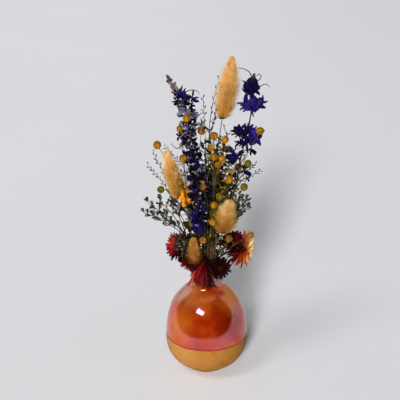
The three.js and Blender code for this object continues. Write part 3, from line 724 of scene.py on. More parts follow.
class Sticks:
    """Stems and twigs of one piece, drawn as curves with a round bevel."""

    def __init__(self) -> None:
        """Start with no lines."""
        self.lines: list[tuple[np.ndarray, np.ndarray]] = []

    def add(self, points: np.ndarray, root: float, tip: float) -> None:
        """Add a line with its radius at the root and at the tip, in millimetres."""
        self.lines.append((points, np.linspace(root, tip, len(points))))

    def shape(self) -> Shape:
        """Return all the lines as one closed mesh."""
        deselect_all()
        bpy.ops.curve.primitive_nurbs_path_add()
        drawn = bpy.context.object.data
        drawn.splines.clear()
        drawn.bevel_depth = 1.0
        drawn.bevel_resolution = 1
        drawn.use_fill_caps = True
        for points, radii in self.lines:
            spline = drawn.splines.new("POLY")
            spline.points.add(len(points) - 1)
            spline.points.foreach_set("co", np.c_[points, np.ones(len(points))].ravel())
            spline.points.foreach_set("radius", radii)
        bpy.ops.object.convert(target="MESH")
        with Edit() as edit:
            edit.close(1e-4)
        return Shape.taken()


class Mass:
    """Copies of small shapes gathered into one mesh, each copy with its own corners."""

    def __init__(self, dresser: Dresser) -> None:
        """Start with no copies."""
        self.dresser = dresser
        self.finishes: list[DryFinish] = []
        keys = ("co", "loop", "size", "tag", "shade", "along")
        self.parts: dict[str, list[np.ndarray]] = {key: [] for key in keys}
        self.count = 0

    def add(
        self, finish: DryFinish, shape: Shape, frames: np.ndarray, places: Sequence,
        shades: np.ndarray | float,
    ) -> None:
        """Add one copy of a shape, or rows of copies.

        Args:
            finish: What the copies are dressed in.
            shape: What is copied.
            frames: One scaled and turned 3 by 3 matrix for each copy.
            places: Where each copy's own origin goes, in millimetres.
            shades: Each copy's shade, from 0 to 1.
        """
        if finish not in self.finishes:
            self.finishes.append(finish)
        places = np.atleast_2d(np.asarray(places, float))
        copies, corners = len(places), len(shape.corners)
        placed = np.einsum("kij,nj->kni", frames.reshape(-1, 3, 3), shape.corners) + places[:, None, :]
        offsets = self.count + np.arange(copies) * corners
        self.parts["co"].append(placed.reshape(-1, 3))
        self.parts["loop"].append((shape.loops[None, :] + offsets[:, None]).ravel())
        self.parts["size"].append(np.tile(shape.sizes, copies))
        self.parts["tag"].append(np.full(len(shape.sizes) * copies, self.finishes.index(finish)))
        self.parts["shade"].append(np.repeat(np.broadcast_to(shades, copies), corners))
        self.parts["along"].append(np.tile(shape.along, copies))
        self.count += copies * corners

    def add_one(self, finish: DryFinish, shape: Shape, shade: float = 0.5) -> None:
        """Add a shape where it lies."""
        self.add(finish, shape, np.eye(3), np.zeros(3), shade)

    def piece(self, name: str) -> bpy.types.Object:
        """Return all the copies as one object in metres."""
        joined = {key: np.concatenate(parts) for key, parts in self.parts.items()}
        mesh = bpy.data.meshes.new(name)
        mesh.vertices.add(self.count)
        mesh.vertices.foreach_set("co", (joined["co"] * MM).ravel())
        mesh.loops.add(len(joined["loop"]))
        mesh.loops.foreach_set("vertex_index", joined["loop"])
        mesh.polygons.add(len(joined["size"]))
        starts = np.concatenate([[0], np.cumsum(joined["size"])[:-1]])
        mesh.polygons.foreach_set("loop_start", starts)
        mesh.polygons.foreach_set("material_index", joined["tag"])
        for finish in self.finishes:
            mesh.materials.append(self.dresser.material(finish))
        mesh.update(calc_edges=True)
        mesh.polygons.foreach_set("use_smooth", np.ones(len(joined["size"]), bool))
        for key in ("shade", "along"):
            mesh.attributes.new(key, "FLOAT", "POINT").data.foreach_set("value", joined[key])
        mesh.validate()
        made = bpy.data.objects.new(name, mesh)
        bpy.context.scene.collection.objects.link(made)
        return made


def hand_over(piece: bpy.types.Object, node: str) -> None:
    """Give a finished piece to the frame, in place of one of its solids."""
    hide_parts(node)
    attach(piece, BODY)
    log.info("%s: %d faces", piece.name, len(piece.data.polygons))


# ---------------------------------------------------------------- shapes that repeat

LAID = (0, math.pi / 2, 0)
MIDDLE = (0.5, 0, 0)


@dataclass(frozen=True)
class BladeForm:
    """A petal, bract or leaf of length 1 along +X, which faces +Z.

    Each row gives a share of the length, the half width there and the height of its middle.
    """

    rows: tuple[tuple[float, float, float], ...]
    trough: float = 0.2
    thickness: float = 0.03
    ruffle: float = 0.0
    seed: int = 0

    def shape(self) -> Shape:
        """Model the blade from a grid, row by row."""
        deselect_all()
        steps = len(self.rows) - 1
        bpy.ops.mesh.primitive_grid_add(x_subdivisions=steps, y_subdivisions=2, size=1, location=MIDDLE)
        bpy.ops.object.transform_apply(location=True)
        with Edit() as edit:
            for i, (_, half, rise) in enumerate(self.rows):
                edit.pick(lambda co: abs(co.x - i / steps) < 1e-4)
                edit.scale(1, 2 * half, 1)
                edit.move(0, 0, rise)
                edit.pick(lambda co: abs(co.x - i / steps) < 1e-4 and abs(co.y) > 1e-4)
                edit.move(0, 0, self.trough * half)
            for i in range(steps, -1, -1):
                edit.pick(lambda co: abs(co.x - i / steps) < 1e-4)
                edit.move(self.rows[i][0] - i / steps + (2 if i < steps else 0), 0, 0)
            edit.pick(lambda co: co.x > 1.5)
            edit.move(-2, 0, 0)
            if self.ruffle:
                edit.all()
                bpy.ops.transform.vertex_random(offset=self.ruffle, seed=self.seed)
        wall = bpy.context.object.modifiers.new("wall", "SOLIDIFY")
        wall.thickness = self.thickness
        wall.offset = 0.0
        bpy.ops.object.modifier_apply(modifier="wall")
        return Shape.taken(along_axis=0)


class Bench:
    """The small shapes that repeat, each modelled once at about length 1 along +X."""

    def __init__(self, dresser: Dresser) -> None:
        """Model every shape."""
        self.dresser = dresser
        petal = ((0, 0.04, 0), (0.2, 0.12, 0.03), (0.45, 0.21, 0.06), (0.7, 0.2, 0.03), (0.88, 0.12, -0.03),
                 (1, 0.03, -0.08))
        curled = ((0, 0.04, 0), (0.2, 0.12, 0.06), (0.42, 0.18, 0.14), (0.62, 0.17, 0.25), (0.74, 0.1, 0.4),
                  (0.76, 0.03, 0.55))
        narrow = ((0, 0.03, 0), (0.25, 0.08, 0.02), (0.5, 0.11, 0.0), (0.75, 0.1, -0.06), (0.92, 0.05, -0.14),
                  (1, 0.015, -0.2))
        folded = ((0, 0.05, 0), (0.22, 0.13, -0.03), (0.45, 0.16, -0.02), (0.68, 0.15, 0.06),
                  (0.86, 0.1, 0.15), (0.95, 0.03, 0.22))
        self.petals = [
            BladeForm(petal, 0.5, 0.03, 0.045, 1).shape(),
            BladeForm(curled, 0.7, 0.03, 0.04, 2).shape(),
            BladeForm(narrow, 0.8, 0.03, 0.035, 3).shape(),
            BladeForm(folded, -0.8, 0.03, 0.05, 4).shape(),
        ]
        bract = ((0, 0.07, 0), (0.3, 0.085, 0.01), (0.6, 0.095, 0.02), (0.85, 0.08, 0.05), (1, 0.045, 0.09))
        straight = ((0, 0.07, 0), (0.3, 0.08, -0.01), (0.6, 0.085, -0.01), (0.86, 0.07, 0.01),
                    (1, 0.035, 0.03))
        self.bracts = [
            BladeForm(bract, 0.5, 0.022, 0.008, 5).shape(),
            BladeForm(straight, 0.7, 0.022, 0.01, 6).shape(),
        ]
        lobe = ((0, 0.06, 0), (0.3, 0.14, 0.01), (0.6, 0.21, 0.03), (0.85, 0.2, 0.08), (0.97, 0.11, 0.13),
                (1, 0.03, 0.15))
        self.lobe = BladeForm(lobe, 0.4, 0.03, 0.02, 9).shape()
        leaf = ((0, 0.02, 0), (0.2, 0.08, 0.03), (0.45, 0.12, 0.04), (0.7, 0.1, 0.0), (0.9, 0.04, -0.07),
                (1, 0.01, -0.12))
        strap = ((0, 0.02, 0), (0.3, 0.045, 0.02), (0.6, 0.05, 0.0), (0.85, 0.035, -0.06), (1, 0.008, -0.12))
        self.leaf = BladeForm(leaf, 0.6, 0.03, 0.01, 7).shape()
        self.strap = BladeForm(strap, 0.6, 0.02, 0.008, 8).shape()
        self.pod = self._pod()
        self.seed = self._spindle(6, 5, 0.24)
        self.bud = self._spindle(7, 6, 0.27)
        self.calyx = self._calyx()
        self.hairs = [self._hair(0.02, bend) for bend in (0.0, 0.06, 0.12)]
        self.fuzz = [self._hair(0.011, 0.0)]
        self.plume = self._plume()

    @staticmethod
    def _spindle(sides: int, rings: int, half: float) -> Shape:
        """Return a closed seed or bud, pointed at its tip."""
        deselect_all()
        bpy.ops.mesh.primitive_uv_sphere_add(segments=sides, ring_count=rings, radius=0.5, rotation=LAID)
        bpy.ops.object.transform_apply(rotation=True)
        with Edit() as edit:
            edit.all()
            edit.move(0.5, 0, 0)
            edit.scale(1, half * 2, half * 2)
            edit.pick(lambda co: 0.6 < co.x < 0.99)
            edit.scale(1, 0.75, 0.75)
            edit.close()
        return Shape.taken(along_axis=0)

    @staticmethod
    def _pod() -> Shape:
        """Return a round capsule of radius 1 with five dark seams and a short pointed tip along +X."""
        deselect_all()
        bpy.ops.mesh.primitive_uv_sphere_add(segments=20, ring_count=9, radius=1, rotation=LAID)
        bpy.ops.object.transform_apply(rotation=True)
        with Edit() as edit:
            for turn in range(5):
                angle = turn * math.pi / 2.5
                edit.pick(lambda co: abs(co.x) < 0.9 and math.cos(math.atan2(co.z, co.y) - angle) > 0.999)
                edit.scale(1, 0.92, 0.92)
            edit.pick(lambda co: co.x > 0.9)
            edit.scale(1, 0.5, 0.5)
            edit.pick(lambda co: co.x > 0.97)
            edit.move(0.3, 0, 0)
            edit.pick(lambda co: co.x < -0.9)
            edit.move(0.06, 0, 0)
            edit.close()
        pod = Shape.taken(along_axis=0)
        turns = np.arctan2(pod.corners[:, 2], pod.corners[:, 1])
        pod.along = np.maximum(pod.along, np.where(np.cos(turns * 5) > 0.99, 0.95, 0.0))
        return pod

    @staticmethod
    def _calyx() -> Shape:
        """Return a short funnel with a hollow mouth, closed all round."""
        deselect_all()
        bpy.ops.mesh.primitive_cone_add(
            vertices=6, radius1=0.09, radius2=0.34, depth=1, end_fill_type="NGON",
            location=MIDDLE, rotation=LAID,
        )
        bpy.ops.object.transform_apply(location=True, rotation=True)
        with Edit() as edit:
            edit.pick(lambda co: co.x > 0.9)
            bpy.ops.mesh.inset(thickness=0.06)
            edit.move(-0.4, 0, 0)
            bpy.ops.transform.resize(value=(1, 0.3, 0.3), center_override=(0.6, 0, 0))
            edit.close()
        return Shape.taken(along_axis=0)

    @staticmethod
    def _hair(half: float, bend: float) -> Shape:
        """Return a three-sided needle of length 1, bowed by a share of its length."""
        deselect_all()
        bpy.ops.mesh.primitive_circle_add(vertices=3, radius=half, fill_type="NGON", rotation=LAID)
        bpy.ops.object.transform_apply(rotation=True)
        with Edit() as edit:
            edit.all()
            if bend:
                edit.grow(0.5, 0, 0)
                bpy.ops.transform.resize(value=(1, 0.75, 0.75), center_override=MIDDLE)
                edit.move(0, 0, bend)
            edit.grow(0.5 if bend else 1.0, 0, -bend)
            bpy.ops.mesh.merge(type="CENTER")
            edit.close(1e-5)
        return Shape.taken(along_axis=0)

    @staticmethod
    def _plume() -> Shape:
        """Return a closed rod of radius 1 and length 1 along +X, in rings that can be shaped."""
        deselect_all()
        rings = 16
        bpy.ops.mesh.primitive_cylinder_add(
            vertices=16, radius=1, depth=1, end_fill_type="TRIFAN", location=MIDDLE, rotation=LAID,
        )
        bpy.ops.object.transform_apply(location=True, rotation=True)
        with Edit() as edit:
            for i in range(1, rings):
                edit.all()
                bpy.ops.mesh.bisect(plane_co=(i / rings, 0, 0), plane_no=(1, 0, 0))
            edit.close()
        return Shape.taken(along_axis=0)


def plume_girth(share: float | np.ndarray, fullness: float) -> float | np.ndarray:
    """Return a plume's girth at a share of its length, as a share of its radius."""
    return np.sin(np.pi * (0.04 + 0.93 * np.clip(share, 0, 1)) ** 0.85) ** fullness


# ---------------------------------------------------------------- vase


@dataclass
class Vase:
    """The stoneware vase: a turned belly, a short neck with a rolled lip, and a hollow inside."""

    dresser: Dresser
    finish: LustreFinish = field(default_factory=LustreFinish)
    belly: tuple[tuple[float, float], ...] = (
        (17.3, 1.2), (22.4, 4.8), (30.1, 11.5), (35.1, 20), (36.9, 29), (36.5, 37), (35.6, 47.5),
        (33.4, 57.5), (29.9, 66.2), (24.3, 73.8), (18.6, 79.4), (15.4, 82.3), (14.2, 85.5), (14, 89),
    )
    foot: float = 15.6
    neck_top: float = 97.0
    rim: float = 102.0
    lip_middle: float = 12.5
    lip_half: float = 2.1
    bore: float = 10.4
    wall: float = 3.6
    floor: float = 5.5
    glaze: float = 0.3
    edge_steps: tuple[float, ...] = (-0.15, 0.1, 0.5, 1.2)
    neck_rows: tuple[float, ...] = (91.5, 94.5)
    bore_rows: tuple[float, ...] = (92.0, 85.0)
    segments: int = 112
    steps: int = 5
    lip_rows: int = 9

    def outside(self) -> list[tuple[float, float]]:
        """Return radius and height pairs up the outside, with the glaze standing proud."""
        p = np.array([(self.foot, 0.0), *self.belly, (self.belly[-1][0], self.neck_top)])
        made = []
        for i in range(1, len(p) - 2):
            for t in np.arange(self.steps) / self.steps:
                a, b = 0.5 * (p[i + 1] - p[i - 1]), 0.5 * (p[i + 2] - p[i])
                at = p[i] + a * t + (3 * (p[i + 1] - p[i]) - 2 * a - b) * t**2
                made.append(at + (2 * (p[i] - p[i + 1]) + a + b) * t**3)
        made.append(np.array(self.belly[-1]))
        line = self.finish.glaze_line
        heights = sorted({float(z) for _, z in made} | {line + step for step in self.edge_steps})
        radii = np.interp(heights, [z for _, z in made], [r for r, _ in made])
        low, _, full, _ = self.edge_steps
        proud = [self.glaze * min(1.0, max(0.0, (z - line - low) / (full - low))) for z in heights]
        return [(self.foot, 0.0), *zip(radii + np.array(proud), heights)]

    def profile(self) -> list[tuple[float, float]]:
        """Return the whole outline, up the outside, over the lip and down the hollow."""
        turns = np.linspace(0, math.pi, self.lip_rows)
        lip = [
            (self.lip_middle + self.lip_half * math.cos(a) + self.glaze * 0.4,
             self.rim - self.lip_half + self.lip_half * math.sin(a)) for a in turns
        ]
        hollow = [
            (r - self.wall, z) for r, z in reversed(self.belly)
            if r - self.wall > self.bore + 0.6 and z > self.floor + 1.5
        ]
        neck = [(self.belly[-1][0] + self.glaze, z) for z in (*self.neck_rows, self.neck_top)]
        bore = [(self.bore, z) for z in self.bore_rows]
        inside = [(self.foot, self.floor), (self.foot * 0.4, self.floor)]
        return [*self.outside(), *neck, *lip, *bore, *hollow, *inside]

    def build(self) -> None:
        """Model the vase from its foot up and hand it over."""
        outline = self.profile()
        deselect_all()
        bpy.ops.mesh.primitive_circle_add(vertices=self.segments, radius=self.foot * MM, fill_type="TRIFAN")
        vase = bpy.context.object
        vase.name = vase.data.name = "vase_glazed"
        with Edit() as edit:
            edit.pick(lambda co: co.length > self.foot * MM * 0.5)
            before = outline[0]
            for radius, height in outline[1:]:
                edit.grow(0, 0, (height - before[1]) * MM)
                edit.scale(radius / before[0], radius / before[0], 1)
                before = (radius, height)
            bpy.ops.mesh.merge(type="CENTER")
            edit.close(1e-7)
        bpy.ops.object.shade_smooth_by_angle(angle=math.radians(50))
        vase.data.materials.append(self.dresser.material(self.finish))
        hand_over(vase, "vase")


# ---------------------------------------------------------------- what every plant has

RING_STEP = 2.9
FOOT_SPREAD = 1.4
FOOT_HEIGHT = 6.2
NECK_HEIGHTS = (80.0, 103.5)
STEM_STEPS = 8
TWIG_STEPS = 6
TWIG_RISE = 0.12
FULL_TURN = 2 * math.pi
ANY_TURN = 6.3


@dataclass(frozen=True)
class Stem:
    """A stem's way: its slot in the neck as a ring and degrees, then the places it passes."""

    slot: tuple[float, float]
    via: tuple[Place, ...]

    def points(self, end: Sequence[float] | None = None) -> list[Sequence[float]]:
        """Return its places from the vase's floor up, with an end if one is given."""
        ring, turn = self.slot
        x = math.cos(math.radians(turn)) * ring * RING_STEP
        y = math.sin(math.radians(turn)) * ring * RING_STEP
        neck = [(x, y, height) for height in NECK_HEIGHTS]
        ends = [] if end is None else [end]
        return [(x * FOOT_SPREAD, y * FOOT_SPREAD, FOOT_HEIGHT), *neck, *self.via, *ends]


class Tip(NamedTuple):
    """The end of a twig, and how far its middle bows over x and y."""

    x: float
    y: float
    z: float
    bow_x: float = 0.0
    bow_y: float = 0.0


def twig_points(start: np.ndarray, tip: Tip) -> np.ndarray:
    """Return places along a twig that leaves its stem steeply and opens to its tip."""
    end = np.array(tip[:3])
    middle = (start + end) / 2
    middle[0] += tip.bow_x - TWIG_RISE * (end[0] - start[0])
    middle[1] += tip.bow_y - TWIG_RISE * (end[1] - start[1])
    return smooth_route([start, middle, end], TWIG_STEPS)


def place_on(line: np.ndarray, share: float) -> np.ndarray:
    """Return the place at a share of a line's steps."""
    steps = share * (len(line) - 1)
    return np.array([np.interp(steps, np.arange(len(line)), line[:, k]) for k in range(3)])


class Leafage(NamedTuple):
    """Leaves on a stem: from one height to another, how many, how long and how wide."""

    low: float
    high: float
    count: int
    length: float
    width: float = 1.0


@dataclass
class Plant:
    """Anything dried that stands in the vase on a stem of its own.

    It keeps the piece that it is making: the copies in its mass, and its sticks, which join the
    mass when they are all drawn.
    """

    name: str
    stem: Stem
    leafage: Leafage | None = field(default=None, kw_only=True)
    seed: int = field(default=1, kw_only=True)

    def start(self, bench: Bench) -> None:
        """Take the bench, and start the random draws and the first piece."""
        self.bench = bench
        self.draw(0)
        self.new_piece()

    def draw(self, shift: int) -> None:
        """Start random draws of the plant's own."""
        self.rng = np.random.default_rng(self.seed + shift)

    def new_piece(self) -> None:
        """Start a piece with nothing in it."""
        self.mass, self.sticks = Mass(self.bench.dresser), Sticks()

    def add_sticks(self, finish: DryFinish, shade: float = 0.5) -> None:
        """Add the sticks drawn so far to the piece."""
        self.mass.add_one(finish, self.sticks.shape(), shade)

    def hand(self, piece: str, slot: Slot, node: str) -> None:
        """Hand the piece over, its name and its node's ending in the plant's own."""
        hand_over(self.mass.piece(f"{piece}_{self.name}"), f"{node}_{self.name}")

    def turned(self, way: np.ndarray) -> np.ndarray:
        """Return axes along a way, or rows of them, turned about it at random."""
        return frames_along(way, self.rng.normal(0, 1, way.shape))

    def add_leaves(self, line: np.ndarray) -> None:
        """Add curled leaves along a stem, if the plant has any; the near-black ones also stand in as painted
        shade among the stems.
        """
        if self.leafage is None:
            return
        low, high, count, length, width = self.leafage
        near = line[(line[:, 2] > low) & (line[:, 2] < high)]
        if not len(near):
            return
        rng, bench = self.rng, self.bench
        roots = near[rng.integers(0, len(near), count)]
        turns = np.arange(count) * GOLDEN_TURN + rng.uniform(0, 1, count)
        out = about(UP, turns, rng.normal(0.55, 0.35, count))
        size = length * rng.uniform(0.6, 1.15, count)
        axes = frames_along(out, UP + rng.normal(0, 0.45, out.shape)) * size[:, None, None]
        axes[:, :, 1] *= width
        kinds = ((SHADE_DARK_LEAF, bench.leaf), (LEAF, bench.strap), (SHADE_DARK_LEAF, bench.strap))
        for k, (finish, kind) in enumerate(kinds):
            chosen = np.arange(count) % 3 == k
            self.mass.add(finish, kind, axes[chosen], roots[chosen], rng.uniform(0, 1, count)[chosen])


# ---------------------------------------------------------------- bunny tails


class BentAxis:
    """A bent axis, on which places are given by a share of its length and two distances across."""

    def __init__(self, points: Sequence[Place]) -> None:
        """Lay the axis through some places."""
        self.line = even_steps(points, 0.5)
        self.length = float(np.linalg.norm(np.diff(self.line, axis=0), axis=1).sum())
        facing = np.tile([0.3, -1.0, 0.2], (len(self.line), 1))
        self.frames = frames_along(np.gradient(self.line, axis=0), facing)

    def place(self, share: np.ndarray, spin: np.ndarray, out: np.ndarray) -> np.ndarray:
        """Return places at a share of the axis, turned about it and out from it."""
        inside = np.clip(share, 0, 1)
        steps = inside * (len(self.line) - 1)
        low = np.minimum(steps.astype(int), len(self.line) - 2)
        part = (steps - low)[:, None]
        middle = self.line[low] * (1 - part) + self.line[low + 1] * part
        frame = self.frames[low]
        middle += frame[:, :, 0] * ((share - inside) * self.length)[:, None]
        across = frame[:, :, 1] * (out * np.cos(spin))[:, None]
        return middle + across + frame[:, :, 2] * (out * np.sin(spin))[:, None]


@dataclass
class BunnyTail(Plant):
    """A bunny tail grass: a smooth stalk and a plume of fine hair in soft tufts.

    The tone shifts all its shades, the fade makes it paler towards its top, and the taper
    slims the last third of it.
    """

    STALK_HALF = (0.55, 0.42)
    CORE_GIRTH = 0.62
    CORE_SPAN = (0.02, 0.94)
    TUFTS_PER_AREA = 0.45
    TUFT_SPREAD = 1.2
    HAIR_RISE = (3.6, 7.2)
    HAIR_REACH = (0.7, 1.0)
    HIGHEST_ROOT = 0.95
    ROOT_DEPTH = 0.5
    ROOT_SPIN, TIP_SPIN = 0.3, 0.05
    TOP_BLUR = 0.06
    TIP_SHIFT = 0.3
    TUFT_UNEVEN = 0.07
    TUFT_TONE, HAIR_TONE = 0.17, 0.1

    axis: tuple[Place, ...]
    radius: float
    fullness: float
    hairs: int
    fuzz: int
    tone: float = 0.0
    fade: float = 0.62
    taper: float = 0.0
    stalk: DryFinish = STRAW_STEM
    fuzz_finish: DryFinish = FUZZ
    fuzz_reach: tuple[float, float] = (0.85, 1.8)

    def build(self, bench: Bench) -> None:
        """Make the stalk and the plume, and hand them over."""
        self.start(bench)
        bent = BentAxis(self.axis)
        points = self.stem.points(bent.line[4])
        self.sticks.add(smooth_route(points, STEM_STEPS), *self.STALK_HALF)
        self.add_leaves(even_steps(points, 1.0))
        self.add_sticks(self.stalk)
        self.hand("tail_stalk", Slot.STRAW, "tail_stem")
        self.new_piece()
        self.add_core(bent)
        self.add_hairs(bench.hairs, PLUME, self.hairs, self.HAIR_REACH, bent)
        self.add_hairs(bench.fuzz, self.fuzz_finish, self.fuzz, self.fuzz_reach, bent)
        self.hand("tail_plume", Slot.PLUME, "tail_head")

    def add_core(self, bent: BentAxis) -> None:
        """Add the plume's solid middle, shaped along the axis."""
        plume = self.bench.plume
        x, y, z = plume.corners.T
        out = np.hypot(y, z) * self.radius * self.CORE_GIRTH * plume_girth(x, self.fullness)
        placed = bent.place(self.CORE_SPAN[0] + self.CORE_SPAN[1] * x, np.arctan2(z, y), out)
        core = Shape(placed, plume.loops, plume.sizes, plume.along * 0.4)
        self.mass.add_one(PLUME, core, 0.12 + self.tone)

    def add_hairs(
        self, kinds: Sequence[Shape], finish: DryFinish, count: int, reach: tuple[float, float],
        bent: BentAxis,
    ) -> None:
        """Add hairs in tufts that lean up the plume.

        Args:
            kinds: Hairs of mixed bend.
            finish: What they are dressed in.
            count: How many.
            reach: The least and greatest distance of their tips from the axis, over the girth.
            bent: The plume's axis.
        """
        rng = self.rng
        tufts = int(bent.length * self.radius * self.TUFTS_PER_AREA)
        tuft = rng.integers(0, tufts, count)
        share = (tuft + 0.5) / tufts + rng.normal(0, self.TUFT_SPREAD / bent.length, count)
        share = np.clip(share, 0.0, self.HIGHEST_ROOT)
        spin = tuft * GOLDEN_TURN + rng.normal(0, self.ROOT_SPIN, count)
        end = share + rng.uniform(*self.HAIR_RISE, count) / bent.length
        end = np.minimum(end, 1.0 - np.abs(rng.normal(0, self.TOP_BLUR, count)))
        inner = self.radius * plume_girth(share, self.fullness) * self.ROOT_DEPTH
        uneven = rng.normal(1.0, self.TUFT_UNEVEN, tufts)[tuft]
        outer = self.radius * plume_girth(end * 0.98, self.fullness) * uneven
        loose = reach[0] + (reach[1] - reach[0]) * rng.random(count) ** 2
        outer *= loose * (1 - self.taper * np.clip(end * 3 - 2, 0, 1))
        root = bent.place(share, spin, inner)
        tip = bent.place(end, spin + rng.normal(0, self.TIP_SPIN, count), outer)
        tip = tip + rng.normal(0, self.TIP_SHIFT, (count, 3))
        along = tip - root
        axes = self.turned(along) * np.linalg.norm(along, axis=1)[:, None, None]
        tuft_tone = rng.normal(0, self.TUFT_TONE, tufts)[tuft]
        shade = 0.1 + self.fade * share + tuft_tone + rng.normal(0, self.HAIR_TONE, count) + self.tone
        kind = rng.integers(0, len(kinds), count)
        for i, hair in enumerate(kinds):
            chosen = kind == i
            self.mass.add(finish, hair, axes[chosen], root[chosen], np.clip(shade[chosen], 0, 1))


# ---------------------------------------------------------------- strawflowers


class BractRow(NamedTuple):
    """A row of bracts: how many, their reach as a share of the radius, their tilt and lift."""

    count: int
    reach: float
    tilt: float
    lift: float


FULL_HEAD = (
    BractRow(22, 0.8, -0.55, -0.16), BractRow(28, 1.0, -0.22, -0.1), BractRow(28, 1.0, 0.04, -0.05),
    BractRow(26, 0.95, 0.3, 0.0), BractRow(22, 0.84, 0.58, 0.03), BractRow(18, 0.66, 0.9, 0.06),
    BractRow(14, 0.48, 1.18, 0.08),
)
SWEPT_HEAD = (
    BractRow(26, 0.95, -0.95, -0.1), BractRow(28, 1.0, -0.7, -0.1), BractRow(28, 1.0, -0.45, -0.06),
    BractRow(26, 0.92, -0.2, -0.02), BractRow(24, 0.84, 0.0, 0.02), BractRow(20, 0.68, 0.3, 0.04),
    BractRow(14, 0.45, 0.8, 0.05),
)
HANGING_HEAD = (
    BractRow(14, 0.9, 0.35, -0.1), BractRow(18, 1.2, 0.78, -0.1), BractRow(20, 1.55, 1.1, -0.08),
    BractRow(20, 1.8, 1.28, 0.0), BractRow(16, 1.8, 1.4, 0.03), BractRow(10, 1.6, 1.5, 0.05),
)
LOBED_HEAD = (
    BractRow(8, 1.0, -0.1, -0.1), BractRow(8, 0.92, 0.2, -0.04), BractRow(7, 0.75, 0.6, 0.02),
)
CUPPED_HEAD = (
    BractRow(18, 0.9, -0.05, -0.14), BractRow(22, 1.0, 0.25, -0.1), BractRow(22, 1.0, 0.5, -0.05),
    BractRow(18, 0.85, 0.8, 0.0), BractRow(14, 0.62, 1.05, 0.04),
)


@dataclass
class Strawflower(Plant):
    """A strawflower: a stem, a cup, rows of narrow papery bracts and a domed disc.

    The shades run from its outer row to its inner one, and `lit` paints light and shade:
    it lightens the bracts that point one way and darkens those that point away.
    """

    LEAF_DRAWS = 90
    DISC_DRAWS = 50
    STEM_HALF = (0.8, 0.7)
    CUP = np.array([0.42, 0.62, 0.62])
    BRACT_WIDTH = 8.6
    FLORETS = 80
    FLORET = 0.19
    DOME = 1.2
    HUB = 0.08
    CUP_DEPTH = 0.34
    BRACT_TURN, BRACT_TILT = 0.07, 0.15
    BRACT_LENGTHS = (0.86, 1.06)
    BRACT_WIDTHS = (0.75, 1.25)

    at: Place
    face: Place
    radius: float
    finish: DryFinish
    slot: Slot
    shades: tuple[float, float] = (0.15, 0.7)
    # The way that painted light falls from: bracts pointing along it are lighter, those pointing away darker.
    lit: Place = (0, 0, 0)
    rows: tuple[BractRow, ...] = FULL_HEAD
    disc_tone: float = 0.5
    disc_size: float = 1.0
    width: float = 1.0

    def build(self, bench: Bench) -> None:
        """Make the stem, the bracts and the disc, and hand them over."""
        self.start(bench)
        at, face = np.array(self.at), unit(self.face)
        self.draw(self.LEAF_DRAWS)
        points = self.stem.points(at - face * (0.3 * self.radius + 0.4))
        self.sticks.add(smooth_route(points, STEM_STEPS), *self.STEM_HALF)
        self.add_leaves(even_steps(points, 1.0))
        self.add_sticks(GREEN_STEM, 0.4)
        self.hand("strawflower_stalk", Slot.GREEN, "strawflower_stem")
        self.make_head(at, face)
        self.hand("strawflower_head", self.slot, "strawflower_bracts")
        self.make_disc(at, face)
        self.hand("strawflower_centre", Slot.DISC, "strawflower_disc")

    def make_head(self, at: np.ndarray, face: np.ndarray) -> None:
        """Make the cup and the rows of bracts, at a middle and facing a way."""
        self.new_piece()
        self.draw(0)
        rng, r = self.rng, self.radius
        cup = frames_along(face, np.array([0.2, 0.1, 1.0])) * self.CUP * r
        self.mass.add(self.finish, self.bench.bud, cup, at - face * self.CUP_DEPTH * r, self.shades[0])
        for k, row in enumerate(self.rows):
            turns = (np.arange(row.count) + 0.5 * k) * (FULL_TURN / row.count)
            turns = turns + rng.normal(0, self.BRACT_TURN, row.count)
            tilts = row.tilt + rng.normal(0, self.BRACT_TILT, row.count)
            out = about(face, turns, tilts)
            level = about(face, turns, np.zeros(row.count))
            facing = about(face, turns, tilts + math.pi / 2)
            roots = at + face * row.lift * r + level * self.HUB * r
            size = r * (row.reach - self.HUB) * rng.uniform(*self.BRACT_LENGTHS, row.count)
            axes = frames_along(out, facing + rng.normal(0, 0.16, out.shape))
            wide = self.width * self.BRACT_WIDTH * rng.uniform(*self.BRACT_WIDTHS, row.count)
            scale = np.stack([size, wide, size], axis=1)
            spread = self.shades[0] + (self.shades[1] - self.shades[0]) * (k / len(self.rows))
            # Painted light and shade on each bract, by how far it points along `lit`.
            shades = np.clip(spread + out @ np.array(self.lit) + rng.normal(0, 0.1, row.count), 0, 1)
            blade = self.bench.lobe if self.rows is LOBED_HEAD else self.bench.bracts[k % 2]
            self.mass.add(self.finish, blade, axes * scale[:, None, :], roots, shades)

    def make_disc(self, at: np.ndarray, face: np.ndarray) -> None:
        """Make the dome of small florets in the head's middle."""
        self.new_piece()
        self.draw(self.DISC_DRAWS)
        count = self.FLORETS
        order = np.arange(count) + 0.5
        out = about(face, order * GOLDEN_TURN, math.pi / 2 - self.DOME * np.sqrt(order / count))
        roots = at + face * 0.1 * self.radius + out * 0.03 * self.radius
        size = self.FLORET * self.radius * self.disc_size * self.rng.uniform(0.85, 1.1, count)
        axes = self.turned(out) * np.stack([size, size * 0.8, size * 0.8], axis=1)[:, None, :]
        shades = np.clip(self.disc_tone + self.rng.normal(0, 0.15, count), 0, 1)
        self.mass.add(DISC_FINISH, self.bench.seed, axes, roots, shades)


# ---------------------------------------------------------------- larkspur


class Bloom(NamedTuple):
    """A larkspur bloom.

    Its middle, the way that it faces, its radius, its shade, how many petals it has, how far
    they close towards its face, how narrow they are and what share of them is faded.
    """

    at: Place
    face: Place
    radius: float
    shade: float = 0.3
    petals: int = 5
    cup: float = 0.4
    slim: float = 1.0
    faded: float = 0.0


class Share(NamedTuple):
    """A share of the blooms, and the shades between which they lie."""

    part: float
    low: float
    high: float


